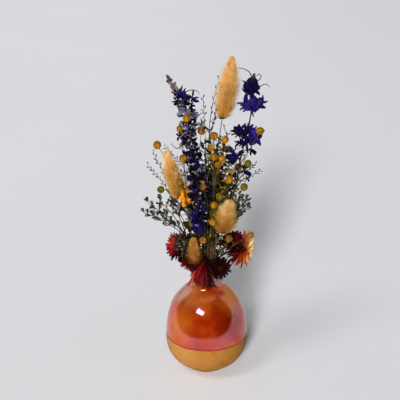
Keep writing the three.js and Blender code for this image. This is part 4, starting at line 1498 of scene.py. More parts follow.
DEEP_MIX = (Share(0.86, 0.0, 0.25), Share(0.1, 0.3, 0.46), Share(0.04, 0.68, 0.88))
FADED_MIX = (Share(0.62, 0.0, 0.24), Share(0.2, 0.3, 0.5), Share(0.1, 0.68, 0.84), Share(0.08, 0.86, 1.0))


@dataclass(frozen=True)
class BloomRule:
    """Blooms set round a stem by the golden turn, from one height to another."""

    low: float
    high: float
    count: int
    radius: float
    top_radius: float
    reach: float
    mix: tuple[Share, ...] = DEEP_MIX
    slim: float = 1.0
    faded: float = 0.0


class Bud(NamedTuple):
    """A closed bud: its foot, the way that it points, its length, its fatness and its shade."""

    at: Place
    way: Place
    size: float
    fat: float = 1.0
    shade: float = 0.3


@dataclass
class Larkspur(Plant):
    """A larkspur spike: a dark stem, stalked blooms with spurs, buds at its tip and dry threads."""

    STEM_HALF = (1.0, 0.6)
    STALK_HALF = (0.45, 0.35)
    THREAD_HALF = (0.5, 0.25)
    SAG = np.array([0, 0, -0.8])
    PETAL_LENGTHS = (0.8, 1.08)
    PETAL_WIDTHS = (0.85, 1.25)
    PETAL_TURN, PETAL_FACING, PETAL_SHADE = 0.2, 0.4, 0.07
    INNER_PETALS = 4
    INNER_TILTS = (1.0, 0.25)
    INNER_LENGTHS = (0.42, 0.6)
    SPUR = np.array([0.7, 0.36, 0.36])
    LONGEST_SPUR = 9.0
    BUD_FACING = np.array([0.2, 1.0, 0.3])

    blooms: tuple[Bloom, ...] = ()
    rule: BloomRule | None = None
    buds_above: float = 250.0
    buds: int = 8
    bud_size: float = 4.5
    closed: tuple[Bud, ...] = ()
    threads: tuple[tuple[Place, ...], ...] = ()
    stalk: DryFinish = DARK_STEM

    def build(self, bench: Bench) -> None:
        """Make the spike and hand it over."""
        self.start(bench)
        points = self.stem.points()
        track = even_steps(points, 1.0)
        self.sticks.add(smooth_route(points, STEM_STEPS), *self.STEM_HALF)
        for bloom in self.all_blooms(track):
            self.add_bloom(track, bloom)
        if self.threads:
            threads = Sticks()
            for thread in self.threads:
                threads.add(smooth_route(thread, TWIG_STEPS), *self.THREAD_HALF)
            self.mass.add_one(BUD, threads.shape(), 0.1)
        self.add_buds(track)
        self.add_leaves(track)
        self.add_sticks(self.stalk)
        self.hand("larkspur_spike", Slot.LARKSPUR, "larkspur")

    def all_blooms(self, track: np.ndarray) -> list[Bloom]:
        """Return the blooms that are named and those that the rule sets."""
        made = list(self.blooms)
        if self.rule is None:
            return made
        rule, rng = self.rule, self.rng
        for i in range(rule.count):
            s = i / (rule.count - 1)
            root = track[np.argmin(np.abs(track[:, 2] - (rule.low + (rule.high - rule.low) * s)))]
            axis = about(UP, i * GOLDEN_TURN + self.seed, 0.25 + rng.uniform(-0.5, 0.5))
            size = rule.radius + (rule.top_radius - rule.radius) * s
            kind = rule.mix[rng.choice(len(rule.mix), p=[share.part for share in rule.mix])]
            at = root + axis * rule.reach * rng.uniform(0.7, 1.2)
            shade = rng.uniform(kind.low, kind.high)
            size *= rng.uniform(0.8, 1.15)
            cup = rng.uniform(0.1, 0.9)
            made.append(Bloom(tuple(at), tuple(axis), size, shade, 5, cup, rule.slim, rule.faded))
        return made

    def add_bloom(self, track: np.ndarray, bloom: Bloom) -> None:
        """Add one bloom: its stalk, uneven petals, small inner petals and a spur.

        Args:
            track: Places along the stem.
            bloom: The bloom.
        """
        rng, count = self.rng, bloom.petals
        at, face = np.array(bloom.at), unit(bloom.face)
        root = track[np.argmin(np.abs(track[:, 2] - (at[2] - 3.0)))]
        back = at - face * 0.1 * bloom.radius
        self.sticks.add(smooth_route([root, (back + root) / 2 + self.SAG, back], 4), *self.STALK_HALF)
        turns = np.arange(count) * (FULL_TURN / count) + rng.uniform(0, ANY_TURN)
        turns = turns + rng.normal(0, self.PETAL_TURN, count)
        tilts = rng.normal(bloom.cup, 0.3 if count < 8 else 0.16, count)
        sizes = bloom.radius * rng.uniform(*self.PETAL_LENGTHS, count)
        self.add_petals(bloom, turns, tilts, sizes, bloom.shade)
        turns = rng.uniform(0, ANY_TURN, self.INNER_PETALS)
        tilts = rng.normal(*self.INNER_TILTS, self.INNER_PETALS)
        sizes = bloom.radius * rng.uniform(*self.INNER_LENGTHS, self.INNER_PETALS)
        self.add_petals(bloom, turns, tilts, sizes, min(1.0, bloom.shade + 0.06))
        spur = -face * 0.8 + UP * 0.35 + rng.normal(0, 0.15, 3)
        size = min(bloom.radius, self.LONGEST_SPUR)
        axes = frames_along(spur, np.array([0.1, 1.0, 0.1])) * self.SPUR * size
        self.mass.add(VIOLET, self.bench.seed, axes, at, max(0.0, bloom.shade - 0.1))

    def add_petals(
        self, bloom: Bloom, turns: np.ndarray, tilts: np.ndarray, sizes: np.ndarray, shade: float,
    ) -> None:
        """Add a ring of petals of mixed forms about a bloom's face."""
        rng, petals = self.rng, self.bench.petals
        at, face = np.array(bloom.at), unit(bloom.face)
        out = about(face, turns, tilts)
        facing = about(face, turns, tilts + math.pi / 2) + rng.normal(0, self.PETAL_FACING, out.shape)
        axes = frames_along(out, facing)
        kinds = rng.integers(0, len(petals), len(turns))
        shades = np.clip(shade + rng.normal(0, self.PETAL_SHADE, len(turns)), 0, 1)
        for kind, axis, size, tone, way in zip(kinds, axes, sizes, shades, out):
            scale = np.array([size, size * bloom.slim * rng.uniform(*self.PETAL_WIDTHS), size])
            dress, tone = (FADED, rng.random()) if rng.random() < bloom.faded else (VIOLET, tone)
            self.mass.add(dress, petals[kind], axis * scale, at + way * 0.04 * size, tone)

    def add_buds(self, track: np.ndarray) -> None:
        """Add closed buds up the tip of the stem, and those that are named."""
        for bud in self.closed:
            axes = frames_along(np.array(bud.way, float), self.BUD_FACING)
            axes = axes * np.array([bud.size, bud.size * bud.fat, bud.size * bud.fat])
            self.mass.add(BUD, self.bench.bud, axes, bud.at, bud.shade)
        tip = track[track[:, 2] > self.buds_above]
        if not len(tip) or not self.buds:
            return
        rng = self.rng
        for i in range(self.buds):
            root = tip[min(len(tip) - 1, int(len(tip) * i / self.buds))]
            way = about(UP, i * GOLDEN_TURN + self.seed, 0.75) + 0.35 * unit(track[-1] - track[-8])
            size = self.bud_size * (1.15 - 0.5 * i / self.buds) * rng.uniform(0.85, 1.15)
            axes = frames_along(way, self.BUD_FACING) * size
            self.mass.add(BUD, self.bench.bud, axes, root + unit(way) * 0.2, rng.uniform(0.0, 0.8))


# ---------------------------------------------------------------- flax, statice, grasses, filler


class Pod(NamedTuple):
    """A flax pod: the tip of its twig, its tone, its radius and the way that it points."""

    tip: Tip
    tone: float = 0.6
    radius: float = 3.4
    aim: Place | None = None


@dataclass
class Flax(Plant):
    """A flax spray: a thin stem that forks into twigs, with a round pod at each tip."""

    STEM_HALF = (0.5, 0.36)
    TWIG_HALF = (0.32, 0.25)
    SIDE_HALF = (0.26, 0.2)
    SIDE_SHARES = (0.35, 0.575)
    SIDE_REACH = (2.5, 6.0)
    SEPALS = 5

    pods: tuple[Pod, ...]

    def build(self, bench: Bench) -> None:
        """Make the spray and hand it over."""
        self.start(bench)
        points = self.stem.points()
        track = even_steps(points, 2.0)
        self.sticks.add(smooth_route(points, STEM_STEPS), *self.STEM_HALF)
        self.add_leaves(track)
        for i, pod in enumerate(self.pods):
            twig = twig_points(track[max(0, len(track) - 1 - 3 * i)], pod.tip)
            self.sticks.add(twig, *self.TWIG_HALF)
            aim = unit(twig[-1] - twig[-3] if pod.aim is None else pod.aim)
            self.add_pod(twig[-1], aim, pod)
            for share in self.SIDE_SHARES:
                self.add_side(twig, share)
        self.add_sticks(TWIG_STEM, 0.7)
        self.hand("flax_spray", Slot.POD, "flax")

    def add_pod(self, at: np.ndarray, aim: np.ndarray, pod: Pod) -> None:
        """Add a pod, uneven in its width and length, with five dry sepals under it."""
        rng, size = self.rng, pod.radius
        uneven = np.array([rng.uniform(0.92, 1.08), rng.uniform(0.9, 1.04), rng.uniform(0.88, 1.02)]) * size
        self.mass.add(POD, self.bench.pod, self.turned(aim) * uneven, at, pod.tone)
        turns = np.arange(self.SEPALS) * (FULL_TURN / self.SEPALS) + rng.uniform(0, 6)
        out = about(aim, turns, rng.normal(0.5, 0.15, self.SEPALS))
        facing = about(aim, turns, np.full(self.SEPALS, 2.0))
        sepals = frames_along(out, facing) * size * np.array([0.9, 1.5, 0.8])
        roots = at - aim * size * 1.06 + out * 0.1
        self.mass.add(LEAF, self.bench.leaf, sepals, roots, rng.uniform(0.2, 0.9, self.SEPALS))

    def add_side(self, twig: np.ndarray, share: float) -> None:
        """Add a short side twig that ends in a bud or an empty husk."""
        rng = self.rng
        root = place_on(twig, share)
        way = unit(about(UP, rng.uniform(0, ANY_TURN), 0.6) + 0.6 * unit(twig[-1] - twig[0]))
        end = root + way * rng.uniform(*self.SIDE_REACH)
        self.sticks.add(smooth_route([root, (root + end) / 2 - UP * 0.5, end], 3), *self.SIDE_HALF)
        husks = ((GOLD_HUSK, rng.uniform(2.0, 3.2)), (CALYX, rng.uniform(2.0, 3.4)))
        finish, size = husks[int(rng.integers(0, 2))]
        axes = self.turned(way) * size
        self.mass.add(finish, self.bench.bud, axes, end - way * 0.3, rng.uniform(0, 0.7))


@dataclass
class Statice(Plant):
    """A statice spray: dark forked twigs whose ends carry close rows of papery calyxes."""

    STEM_HALF = (0.7, 0.55)
    TWIG_HALF = (0.5, 0.3)
    FAN_HALF = (0.26, 0.2)
    FAN_SHARES = (0.55, 0.66, 0.76, 0.85, 0.93, 1.0)
    FAN_CALYXES = 5
    FAN_REACH = (2.4, 4.4)
    CALYX_LENGTHS = (2.5, 3.8)

    tips: tuple[Tip, ...]
    pale: float = 0.2
    calyx_size: float = 1.0

    def build(self, bench: Bench) -> None:
        """Make the spray and hand it over."""
        self.start(bench)
        points = self.stem.points()
        track = even_steps(points, 2.0)
        self.sticks.add(smooth_route(points, STEM_STEPS), *self.STEM_HALF)
        self.add_leaves(track)
        for k, tip in enumerate(self.tips):
            twig = twig_points(track[max(0, len(track) - 1 - 2 * k)], tip)
            self.sticks.add(twig, *self.TWIG_HALF)
            self.add_fans(twig)
        self.add_sticks(DARK_STEM, 0.7)
        self.hand("statice_spray", Slot.STATICE, "statice")

    def add_fans(self, twig: np.ndarray) -> None:
        """Add side twigs along the end of a twig, each with a row of calyxes on its upper side."""
        rng, count = self.rng, self.FAN_CALYXES
        aim = unit(twig[-1] - twig[-4])
        for j, s in enumerate(self.FAN_SHARES):
            root = place_on(twig, s)
            side = np.array([1, -1][j % 2] * np.cross(aim, [0, -1, 0.3]))
            way = unit(aim * 0.9 + UP * 0.35 + (0 if s == 1 else 0.85) * side + rng.normal(0, 0.22, 3))
            reach = rng.uniform(*self.FAN_REACH)
            bend = root + way * reach * 0.5 + np.array([0, 0, -0.3])
            fan = smooth_route([root, bend, root + way * reach], 3)
            self.sticks.add(fan, *self.FAN_HALF)
            at = fan[np.linspace(2, len(fan) - 1, count).astype(int)]
            lean = unit(way + UP * 0.75 + rng.normal(0, 0.4, (count, 3)))
            size = self.calyx_size * rng.uniform(*self.CALYX_LENGTHS, count)
            axes = self.turned(lean) * size[:, None, None]
            pale = rng.random(count) < self.pale
            tones = np.where(pale, rng.uniform(0.75, 1.0, count), rng.uniform(0.0, 0.65, count))
            self.mass.add(CALYX, self.bench.calyx, axes, at, tones)


@dataclass
class SeedGrass(Plant):
    """A wispy grass: hair-thin arms with small seeds on short stalks, left and right."""

    STEM_HALF = (0.45, 0.32)
    ARM_HALF = (0.3, 0.16)
    STALK_HALF = (0.16, 0.13)
    STALK_REACH = (0.6, 2.4)
    SEED_LENGTHS = (1.7, 2.8)

    tips: tuple[Tip, ...]
    seeds: int = 13
    seed_from: float = 0.42

    def build(self, bench: Bench) -> None:
        """Make the grass and hand it over."""
        self.start(bench)
        rng = self.rng
        points = self.stem.points()
        self.sticks.add(smooth_route(points, STEM_STEPS), *self.STEM_HALF)
        for k, tip in enumerate(self.tips):
            arm = twig_points(np.array(points[-1], float), tip)
            self.sticks.add(arm, *self.ARM_HALF)
            aim = unit(arm[-1] - arm[-4])
            for i in range(self.seeds):
                root = place_on(arm, self.seed_from + (1 - self.seed_from) * (i + 1) / self.seeds)
                side = about(aim, i * math.pi + k + rng.normal(0, 0.6), 0.2)
                way = unit(aim + side * rng.uniform(0.5, 1.1))
                reach = rng.uniform(*self.STALK_REACH)
                self.sticks.add(np.array([root, root + way * reach]), *self.STALK_HALF)
                axes = self.turned(way) * rng.uniform(*self.SEED_LENGTHS)
                self.mass.add(SEED, bench.seed, axes, root + way * reach * 0.9, rng.uniform(0, 0.8))
        self.add_sticks(TWIG_STEM, 0.2)
        self.hand("grass", Slot.SEED, "seed_grass")


@dataclass
class Filler(Plant):
    """A twiggy olive filler: fine forked twigs with small narrow leaves and buds.

    Its runners are bare stems that rise from the front of the neck into the leaves.
    """

    STEM_HALF = (0.65, 0.5)
    TWIG_HALF = (0.45, 0.24)
    BUD_STALK_HALF = (0.2, 0.16)
    RUNNER_HALF = (0.36, 0.24)
    RUNNER_SPAN = (-4.5, 6.0)
    RUNNER_SPREADS = (1.25, 1.5, 1.9)
    RUNNER_HEIGHTS = (99.0, 118.0, 138.0, 164.0)
    RUNNER_FRONT = -15
    LEAF_FINISHES = (SHADE_DARK_LEAF, LEAF, SHADE_DARK_LEAF, GOLD_HUSK, SHADE_DARK_LEAF)
    LEAF_SCALE = np.array([1, 1.5, 1])
    LEAF_LENGTHS = (3.5, 8.5)
    LEAVES_PER_BUD = 6
    BUD_LENGTHS = (2.0, 3.4)

    tips: tuple[Tip, ...]
    leaves: int = 40
    runners: int = 0

    def build(self, bench: Bench) -> None:
        """Make the filler and hand it over."""
        self.start(bench)
        points = self.stem.points()
        self.sticks.add(smooth_route(points, STEM_STEPS), *self.STEM_HALF)
        self.add_leaves(even_steps(points, 1.0))
        for k, tip in enumerate(self.tips):
            twig = twig_points(np.array(points[-1], float), tip)
            self.sticks.add(twig, *self.TWIG_HALF)
            self.add_twig_leaves(twig, k)
        self.add_sticks(TWIG_STEM, 0.25)
        if self.runners:
            self.add_runners()
        self.hand("filler_twigs", Slot.OLIVE, "filler")

    def add_twig_leaves(self, twig: np.ndarray, k: int) -> None:
        """Add small leaves round a twig, the one numbered k, with a stalked bud here and there."""
        rng, bench = self.rng, self.bench
        for i in range(self.leaves):
            root = place_on(twig, 0.05 + 0.95 * (i + 1) / self.leaves)
            out = about(UP, i * GOLDEN_TURN + k + rng.uniform(0, 0.5), 0.6 + rng.normal(0, 0.35))
            size = rng.uniform(*self.LEAF_LENGTHS)
            axes = frames_along(out, UP + rng.normal(0, 0.4, 3)) * size * self.LEAF_SCALE
            kind = bench.leaf if i % 2 else bench.strap
            finish = self.LEAF_FINISHES[(i + k) % len(self.LEAF_FINISHES)]
            self.mass.add(finish, kind, axes, root, rng.uniform(0, 1))
            if i % self.LEAVES_PER_BUD == 0:
                stalk = root + out * size * 0.8 + UP * 1.5
                self.sticks.add(np.array([root, stalk]), *self.BUD_STALK_HALF)
                bud = self.turned(out) * rng.uniform(*self.BUD_LENGTHS)
                self.mass.add(GOLD_HUSK, bench.bud, bud, stalk, rng.uniform(0, 1))

    def add_runners(self) -> None:
        """Add the bare stems in front."""
        rng, runners, front = self.rng, Sticks(), self.RUNNER_FRONT
        foot_z, waist_z, chest_z, head_z = self.RUNNER_HEIGHTS
        for x in np.linspace(*self.RUNNER_SPAN, self.runners):
            waist_x, chest_x, head_x = (x * spread for spread in self.RUNNER_SPREADS)
            foot = np.array([x, front / 2 + abs(x) * 0.3, foot_z])
            waist = np.array([waist_x + rng.normal(0, 0.5), front + rng.normal(0, 1), waist_z])
            chest = np.array([chest_x + rng.normal(0, 1), front + rng.normal(0, 1.5), chest_z])
            head = np.array([head_x + rng.normal(0, 2), -9.0, head_z + rng.normal(0, 5)])
            runners.add(smooth_route([foot, waist, chest, head], TWIG_STEPS), *self.RUNNER_HALF)
        self.mass.add_one(STRAW_STEM, runners.shape(), 0.15)


# ---------------------------------------------------------------- the bouquet

TAILS = (
    BunnyTail("tall", Stem((1, 0), ((5, 2, 150), (8.6, 3.6, 200))),
              ((12.6, 4, 233), (17.5, 4, 259.2), (20.7, 4, 286)),
              7.3, 0.6, 12500, 10000, tone=0.0, taper=0.3, stalk=GREY_STEM, seed=1),
    BunnyTail("left", Stem((2, 210), ((-10, -8, 132), (-18, -11, 155))),
              ((-23.0, -12.5, 168), (-28.8, -14, 189.5), (-34.2, -16, 211)),
              6.3, 0.7, 10500, 9000, tone=-0.14, fade=0.95, fuzz_finish=PALE_FUZZ, seed=2),
    BunnyTail("right", Stem((2, 300), ((7, -14, 124),)),
              ((13.8, -24, 140.6), (15.5, -25.5, 156.8), (20.2, -26, 171)),
              7.5, 0.55, 9500, 8000, tone=-0.12, fade=0.9, fuzz_finish=PALE_FUZZ,
              leafage=Leafage(105, 138, 9, 9), seed=3),
    BunnyTail("front", Stem((2, 270), ((-2.6, -14, 115), (-6.6, -27, 114))),
              ((-9.5, -33.5, 116.2), (-11.1, -36, 130.3), (-11.5, -37.5, 141.6)),
              5.4, 0.5, 5000, 3600, tone=0.04, fuzz_finish=HAZE,
              leafage=Leafage(104, 116, 6, 8), seed=4),
)

STRAWFLOWERS = (
    Strawflower("left", Stem((3, 200), ((-14, -10, 116),)), (-23.8, -23, 127.8), (-0.62, -0.72, 0.25), 13.6,
                CRIMSON, Slot.CRIMSON, (0.1, 0.35), (-0.35, 0.0, 0.3), disc_tone=0.1,
                leafage=Leafage(104, 120, 6, 9), seed=1),
    Strawflower("lower_left", Stem((3, 240), ((-8.5, -14.5, 108.5),)), (-14.4, -23.5, 113.2),
                (-0.4, -0.6, -0.65), 11.0, MAROON, Slot.MAROON, (0.3, 0.7), (-0.3, 0.0, 0.1),
                disc_tone=0.1, width=0.85, seed=2),
    Strawflower("centre", Stem((3, 260), ((-2, -14.5, 108),)), (-2.2, -20.5, 113.5),
                (-0.02, -0.26, -0.96), 14.0, CRIMSON, Slot.CRIMSON, (0.05, 0.28), (-0.7, -0.25, 0.0),
                rows=HANGING_HEAD, disc_tone=0.05, disc_size=0.8,
                leafage=Leafage(104, 110, 4, 8), seed=3),
    Strawflower("lower_right", Stem((3, 300), ((7.5, -13.5, 108),)), (11.4, -22, 107.2),
                (0.35, -0.85, 0.25), 10.6, MAROON, Slot.MAROON, (0.0, 0.35),
                disc_tone=0.0, disc_size=1.5, width=0.85, leafage=Leafage(104, 112, 8, 9), seed=4),
    Strawflower("right", Stem((3, 0), ((15, -1, 111),)), (34.6, -5.5, 117.2), (0.95, -0.14, -0.24), 18.0,
                RUST, Slot.RUST, (0.0, 1.2), (0, 0, 0.15), rows=SWEPT_HEAD, disc_tone=0.6, width=1.1,
                leafage=Leafage(104, 116, 8, 9), seed=5),
    Strawflower("right_back", Stem((3, 340), ((14, -6, 119),)), (22.3, -11, 126), (0.1, -0.4, 0.9), 12.5,
                MAROON, Slot.MAROON, (0.1, 0.7), rows=CUPPED_HEAD, disc_tone=0.45, width=1.15,
                leafage=Leafage(105, 124, 10, 10), seed=6),
    Strawflower("orange", Stem((2, 150), ((-9, 5, 135),)), (-15.4, -13.5, 170), (0.62, -0.78, 0.1), 10.0,
                ORANGE, Slot.ORANGE, (0.3, 0.9), (0, 0, 0.2), rows=LOBED_HEAD, disc_tone=0.3, width=1.5,
                seed=7),
)

LARKSPURS = (
    Larkspur(
        "left",
        Stem((1, 180), ((-3, -4, 140), (-3.4, -8, 172), (-9.3, -7, 191), (-13.5, -5, 208), (-16.6, -3, 217),
                        (-15.4, -1.5, 231), (-17.5, 0, 243), (-24.1, 2, 256.3), (-33, 2, 269))),
        rule=BloomRule(170, 250, 62, 7.0, 5.0, 4.6, FADED_MIX, 1.5, 0.42), buds_above=250, buds=9,
        bud_size=3.4,
        blooms=(
            Bloom((-24.9, -1, 255), (-0.1, -0.9, 0.2), 6.4, 0.24, petals=7),
            Bloom((-20.5, -4, 254.5), (0.4, -0.8, 0.2), 6.2, 0.36, petals=7),
            Bloom((-12.6, -4, 252.5), (0.5, -0.8, -0.1), 6.4, 0.24, petals=6, cup=0.3),
            Bloom((-24, -3, 250.5), (-0.4, -0.8, -0.2), 5.8, 0.16, petals=7),
            Bloom((-20.7, -5, 250.3), (0.2, -0.9, 0), 2.8, 1.0),
            Bloom((-18.6, -6, 241.2), (-0.1, -0.9, 0.2), 5.2, 0.72, cup=0.3),
            Bloom((-16.7, -8, 229), (0.2, -0.9, 0), 4.0, 0.7),
            Bloom((-22.5, -7, 227.9), (-0.6, -0.7, 0), 3.4, 0.86),
            Bloom((-10, -6, 239.6), (0.5, -0.7, 0.3), 4.0, 0.84),
            Bloom((-10.9, -6, 235.6), (0.4, -0.7, -0.4), 4.0, 0.03),
            Bloom((-5.4, -8, 231.2), (0.5, -0.8, 0.1), 6.5, 0.97, cup=0.2),
            Bloom((-22.6, -7, 221), (-0.6, -0.7, 0.1), 5.0, 0.1),
            Bloom((-19.3, -15, 189.5), (-0.5, -0.7, 0.1), 4.5, 0.86),
            Bloom((-14.3, -9, 209), (0, -0.9, 0.1), 6.0, 0.2),
            Bloom((-9, -10, 200), (0.4, -0.8, 0.1), 6.0, 0.35),
            Bloom((-17.5, -10, 201), (-0.5, -0.7, 0.1), 5.5, 0.1),
            Bloom((-9.5, -10, 193), (0.3, -0.8, 0.1), 5.6, 0.28),
        ),
        closed=(
            Bud((-30, 1.6, 266), (-0.6, 0, 0.75), 6.0, 1.0, 0.1),
            Bud((-31, 0.5, 265.5), (-0.2, -0.3, 0.9), 6.0, 1.0, 0.5),
            Bud((-29, 0.5, 264), (-0.9, -0.2, 0.4), 5.5, 1.0, 0.2),
            Bud((-28, 0, 261), (-0.5, -0.4, 0.8), 7.0, 0.8, 0.9),
            Bud((-27, 0, 259), (0.1, -0.3, 0.9), 7.5, 0.7, 0.6),
            Bud((-25, 0.5, 256), (-0.7, 0, 0.7), 8.0, 0.7, 0.75),
            Bud((-24, -0.5, 256.5), (-0.3, -0.3, 0.9), 8.5, 0.6, 0.95),
            Bud((-22.5, 0, 256), (0.3, 0, 0.9), 7.0, 0.5, 0.3),
            Bud((-21, -1, 255), (0.5, -0.2, 0.8), 7.0, 0.5, 0.2),
            Bud((-20, -5, 245), (0.5, -0.6, 0.5), 5.0, 1.0, 0.1),
            Bud((-17.5, -5, 242), (0.8, -0.5, 0.2), 4.6, 1.0, 0.8),
            Bud((-17, -5, 239.5), (0.8, -0.5, -0.2), 4.4, 1.0, 0.6),
        ),
        threads=(
            ((-24, 0, 253), (-18.2, -3, 257.3), (-12.5, -4, 259.2), (-7.5, -4, 257.6), (-6.6, -4, 255.6)),
            ((-15.5, -4, 234), (-8.4, -6, 237), (-4.3, -7, 240.6), (-0.9, -7, 239.8)),
            ((-20, -5, 214), (-24, -7, 210.5), (-27.1, -8, 211.3), (-30, -8, 215.1)),
        ),
        leafage=Leafage(140, 250, 60, 6, 1.6), seed=2,
    ),
    Larkspur(
        "centre",
        Stem((1, 240), ((-4, -16, 130), (-7.4, -25, 150), (-6.8, -24, 171), (-9, -22, 195))),
        rule=BloomRule(152, 194, 26, 7.6, 6.0, 3.8, DEEP_MIX, 1.5, 0.25), buds_above=189, buds=4,
        blooms=(
            Bloom((-8.0, -31, 153), (-0.1, -0.9, -0.1), 10.0, 0.27, petals=9, cup=0.35, slim=1.5),
            Bloom((-9.5, -30, 158), (-0.5, -0.7, 0.4), 7.5, 0.3, petals=6, cup=0.4, slim=1.4),
            Bloom((-8.2, -32, 152), (0, -0.9, 0), 3.0, 0.8, petals=5, cup=0.7),
        ),
        threads=(
            ((-13.8, -31, 179), (-10, -34, 181.1), (-7.9, -34, 186.2), (-9.2, -33, 191.1)),
            ((-8.2, -28, 156), (-9.5, -31, 162), (-7.2, -32, 168), (-8.4, -30, 174), (-6.7, -29, 186)),
        ),
        leafage=Leafage(118, 150, 12, 10), seed=5,
    ),
    Larkspur(
        "right",
        Stem((2, 0), ((14, 0, 145), (24.5, 2, 172), (27.6, 4, 192), (30.8, 5, 207), (34.7, 6, 224.5),
                      (37.1, 7, 237), (37.4, 8, 262))),
        blooms=(
            Bloom((37.2, 5, 254), (-0.1, -0.2, 1), 14.5, 0.22, petals=10, cup=0.78, slim=1.1),
            Bloom((37.2, 4, 255), (-0.75, -0.3, 0.5), 9.5, 0.32, petals=6, cup=0.7),
            Bloom((37.4, 3, 257), (0.3, -0.6, 0.6), 8.5, 0.26, petals=6, cup=0.6),
            Bloom((37.6, 5, 240), (-0.05, -0.15, 1), 15.5, 0.5, petals=14, cup=0.66, slim=1.3),
            Bloom((36, 1, 243), (-0.3, -0.6, 0.7), 10, 0.5, petals=8, cup=0.6, slim=1.2),
            Bloom((41, 1, 243), (0.3, -0.6, 0.7), 9.5, 0.4, petals=8, cup=0.6, slim=1.2),
            Bloom((28.5, 2, 219), (-0.35, -0.4, 0.85), 11, 0.3, petals=8, cup=0.7, slim=1.3),
            Bloom((28, 1, 214), (-0.7, -0.6, 0.1), 7.5, 0.1, petals=6, cup=0.3),
            Bloom((39.5, 3, 215), (0.3, -0.5, 0.8), 11, 0.5, petals=9, cup=0.65, slim=1.4),
            Bloom((31.5, 0, 222), (-0.2, -0.7, 0.6), 8.5, 0.3, petals=7, cup=0.4, slim=1.3),
            Bloom((42.5, 2, 214.5), (0.6, -0.6, 0), 5.5, 0.74, petals=5, cup=0.3),
            Bloom((34, 0, 214), (0, -0.9, 0.3), 8.5, 0.3, petals=7, cup=0.4, slim=1.3),
            Bloom((38, 1, 207.5), (0.3, -0.7, -0.6), 6.5, 0.15, petals=6, cup=0.6),
            Bloom((36, 13, 221), (0.3, 0.85, 0.3), 8.5, 0.3, petals=6, cup=0.6),
            Bloom((25, 0, 201), (-0.5, -0.6, 0.5), 10.0, 0.32, petals=9, cup=0.5, slim=1.4),
            Bloom((20.5, -2, 195.2), (-0.6, -0.7, -0.3), 4.5, 0.85, petals=4, cup=0.4),
            Bloom((31.7, 0, 188), (0.5, -0.7, 0.5), 8, 0.3, petals=7, cup=0.6, slim=1.4),
            Bloom((34.5, 0, 181.9), (0.5, -0.7, -0.2), 4.0, 0.2, petals=5, cup=0.5),
        ),
        buds_above=262, buds=0,
        closed=(
            Bud((38.0, 7, 263), (0.1, -0.2, 1), 8.5, 0.9, 0.1),
            Bud((37.5, 6, 266), (0.35, -0.2, 0.9), 6.0, 0.8, 0.4),
        ),
        threads=(
            ((37.2, 6, 262), (35.3, 4, 271.7), (30.3, 4, 275), (25.4, 4, 275.9)),
            ((37.4, 7, 256), (43, 4, 260), (48.8, 4, 262.5), (52, 4, 260)),
            ((38, 6, 264), (43.4, 5, 266), (44.6, 5, 269.2), (42.4, 5, 270.6), (41, 5, 268.6)),
        ),
        stalk=TWIG_STEM, seed=8,
    ),
)

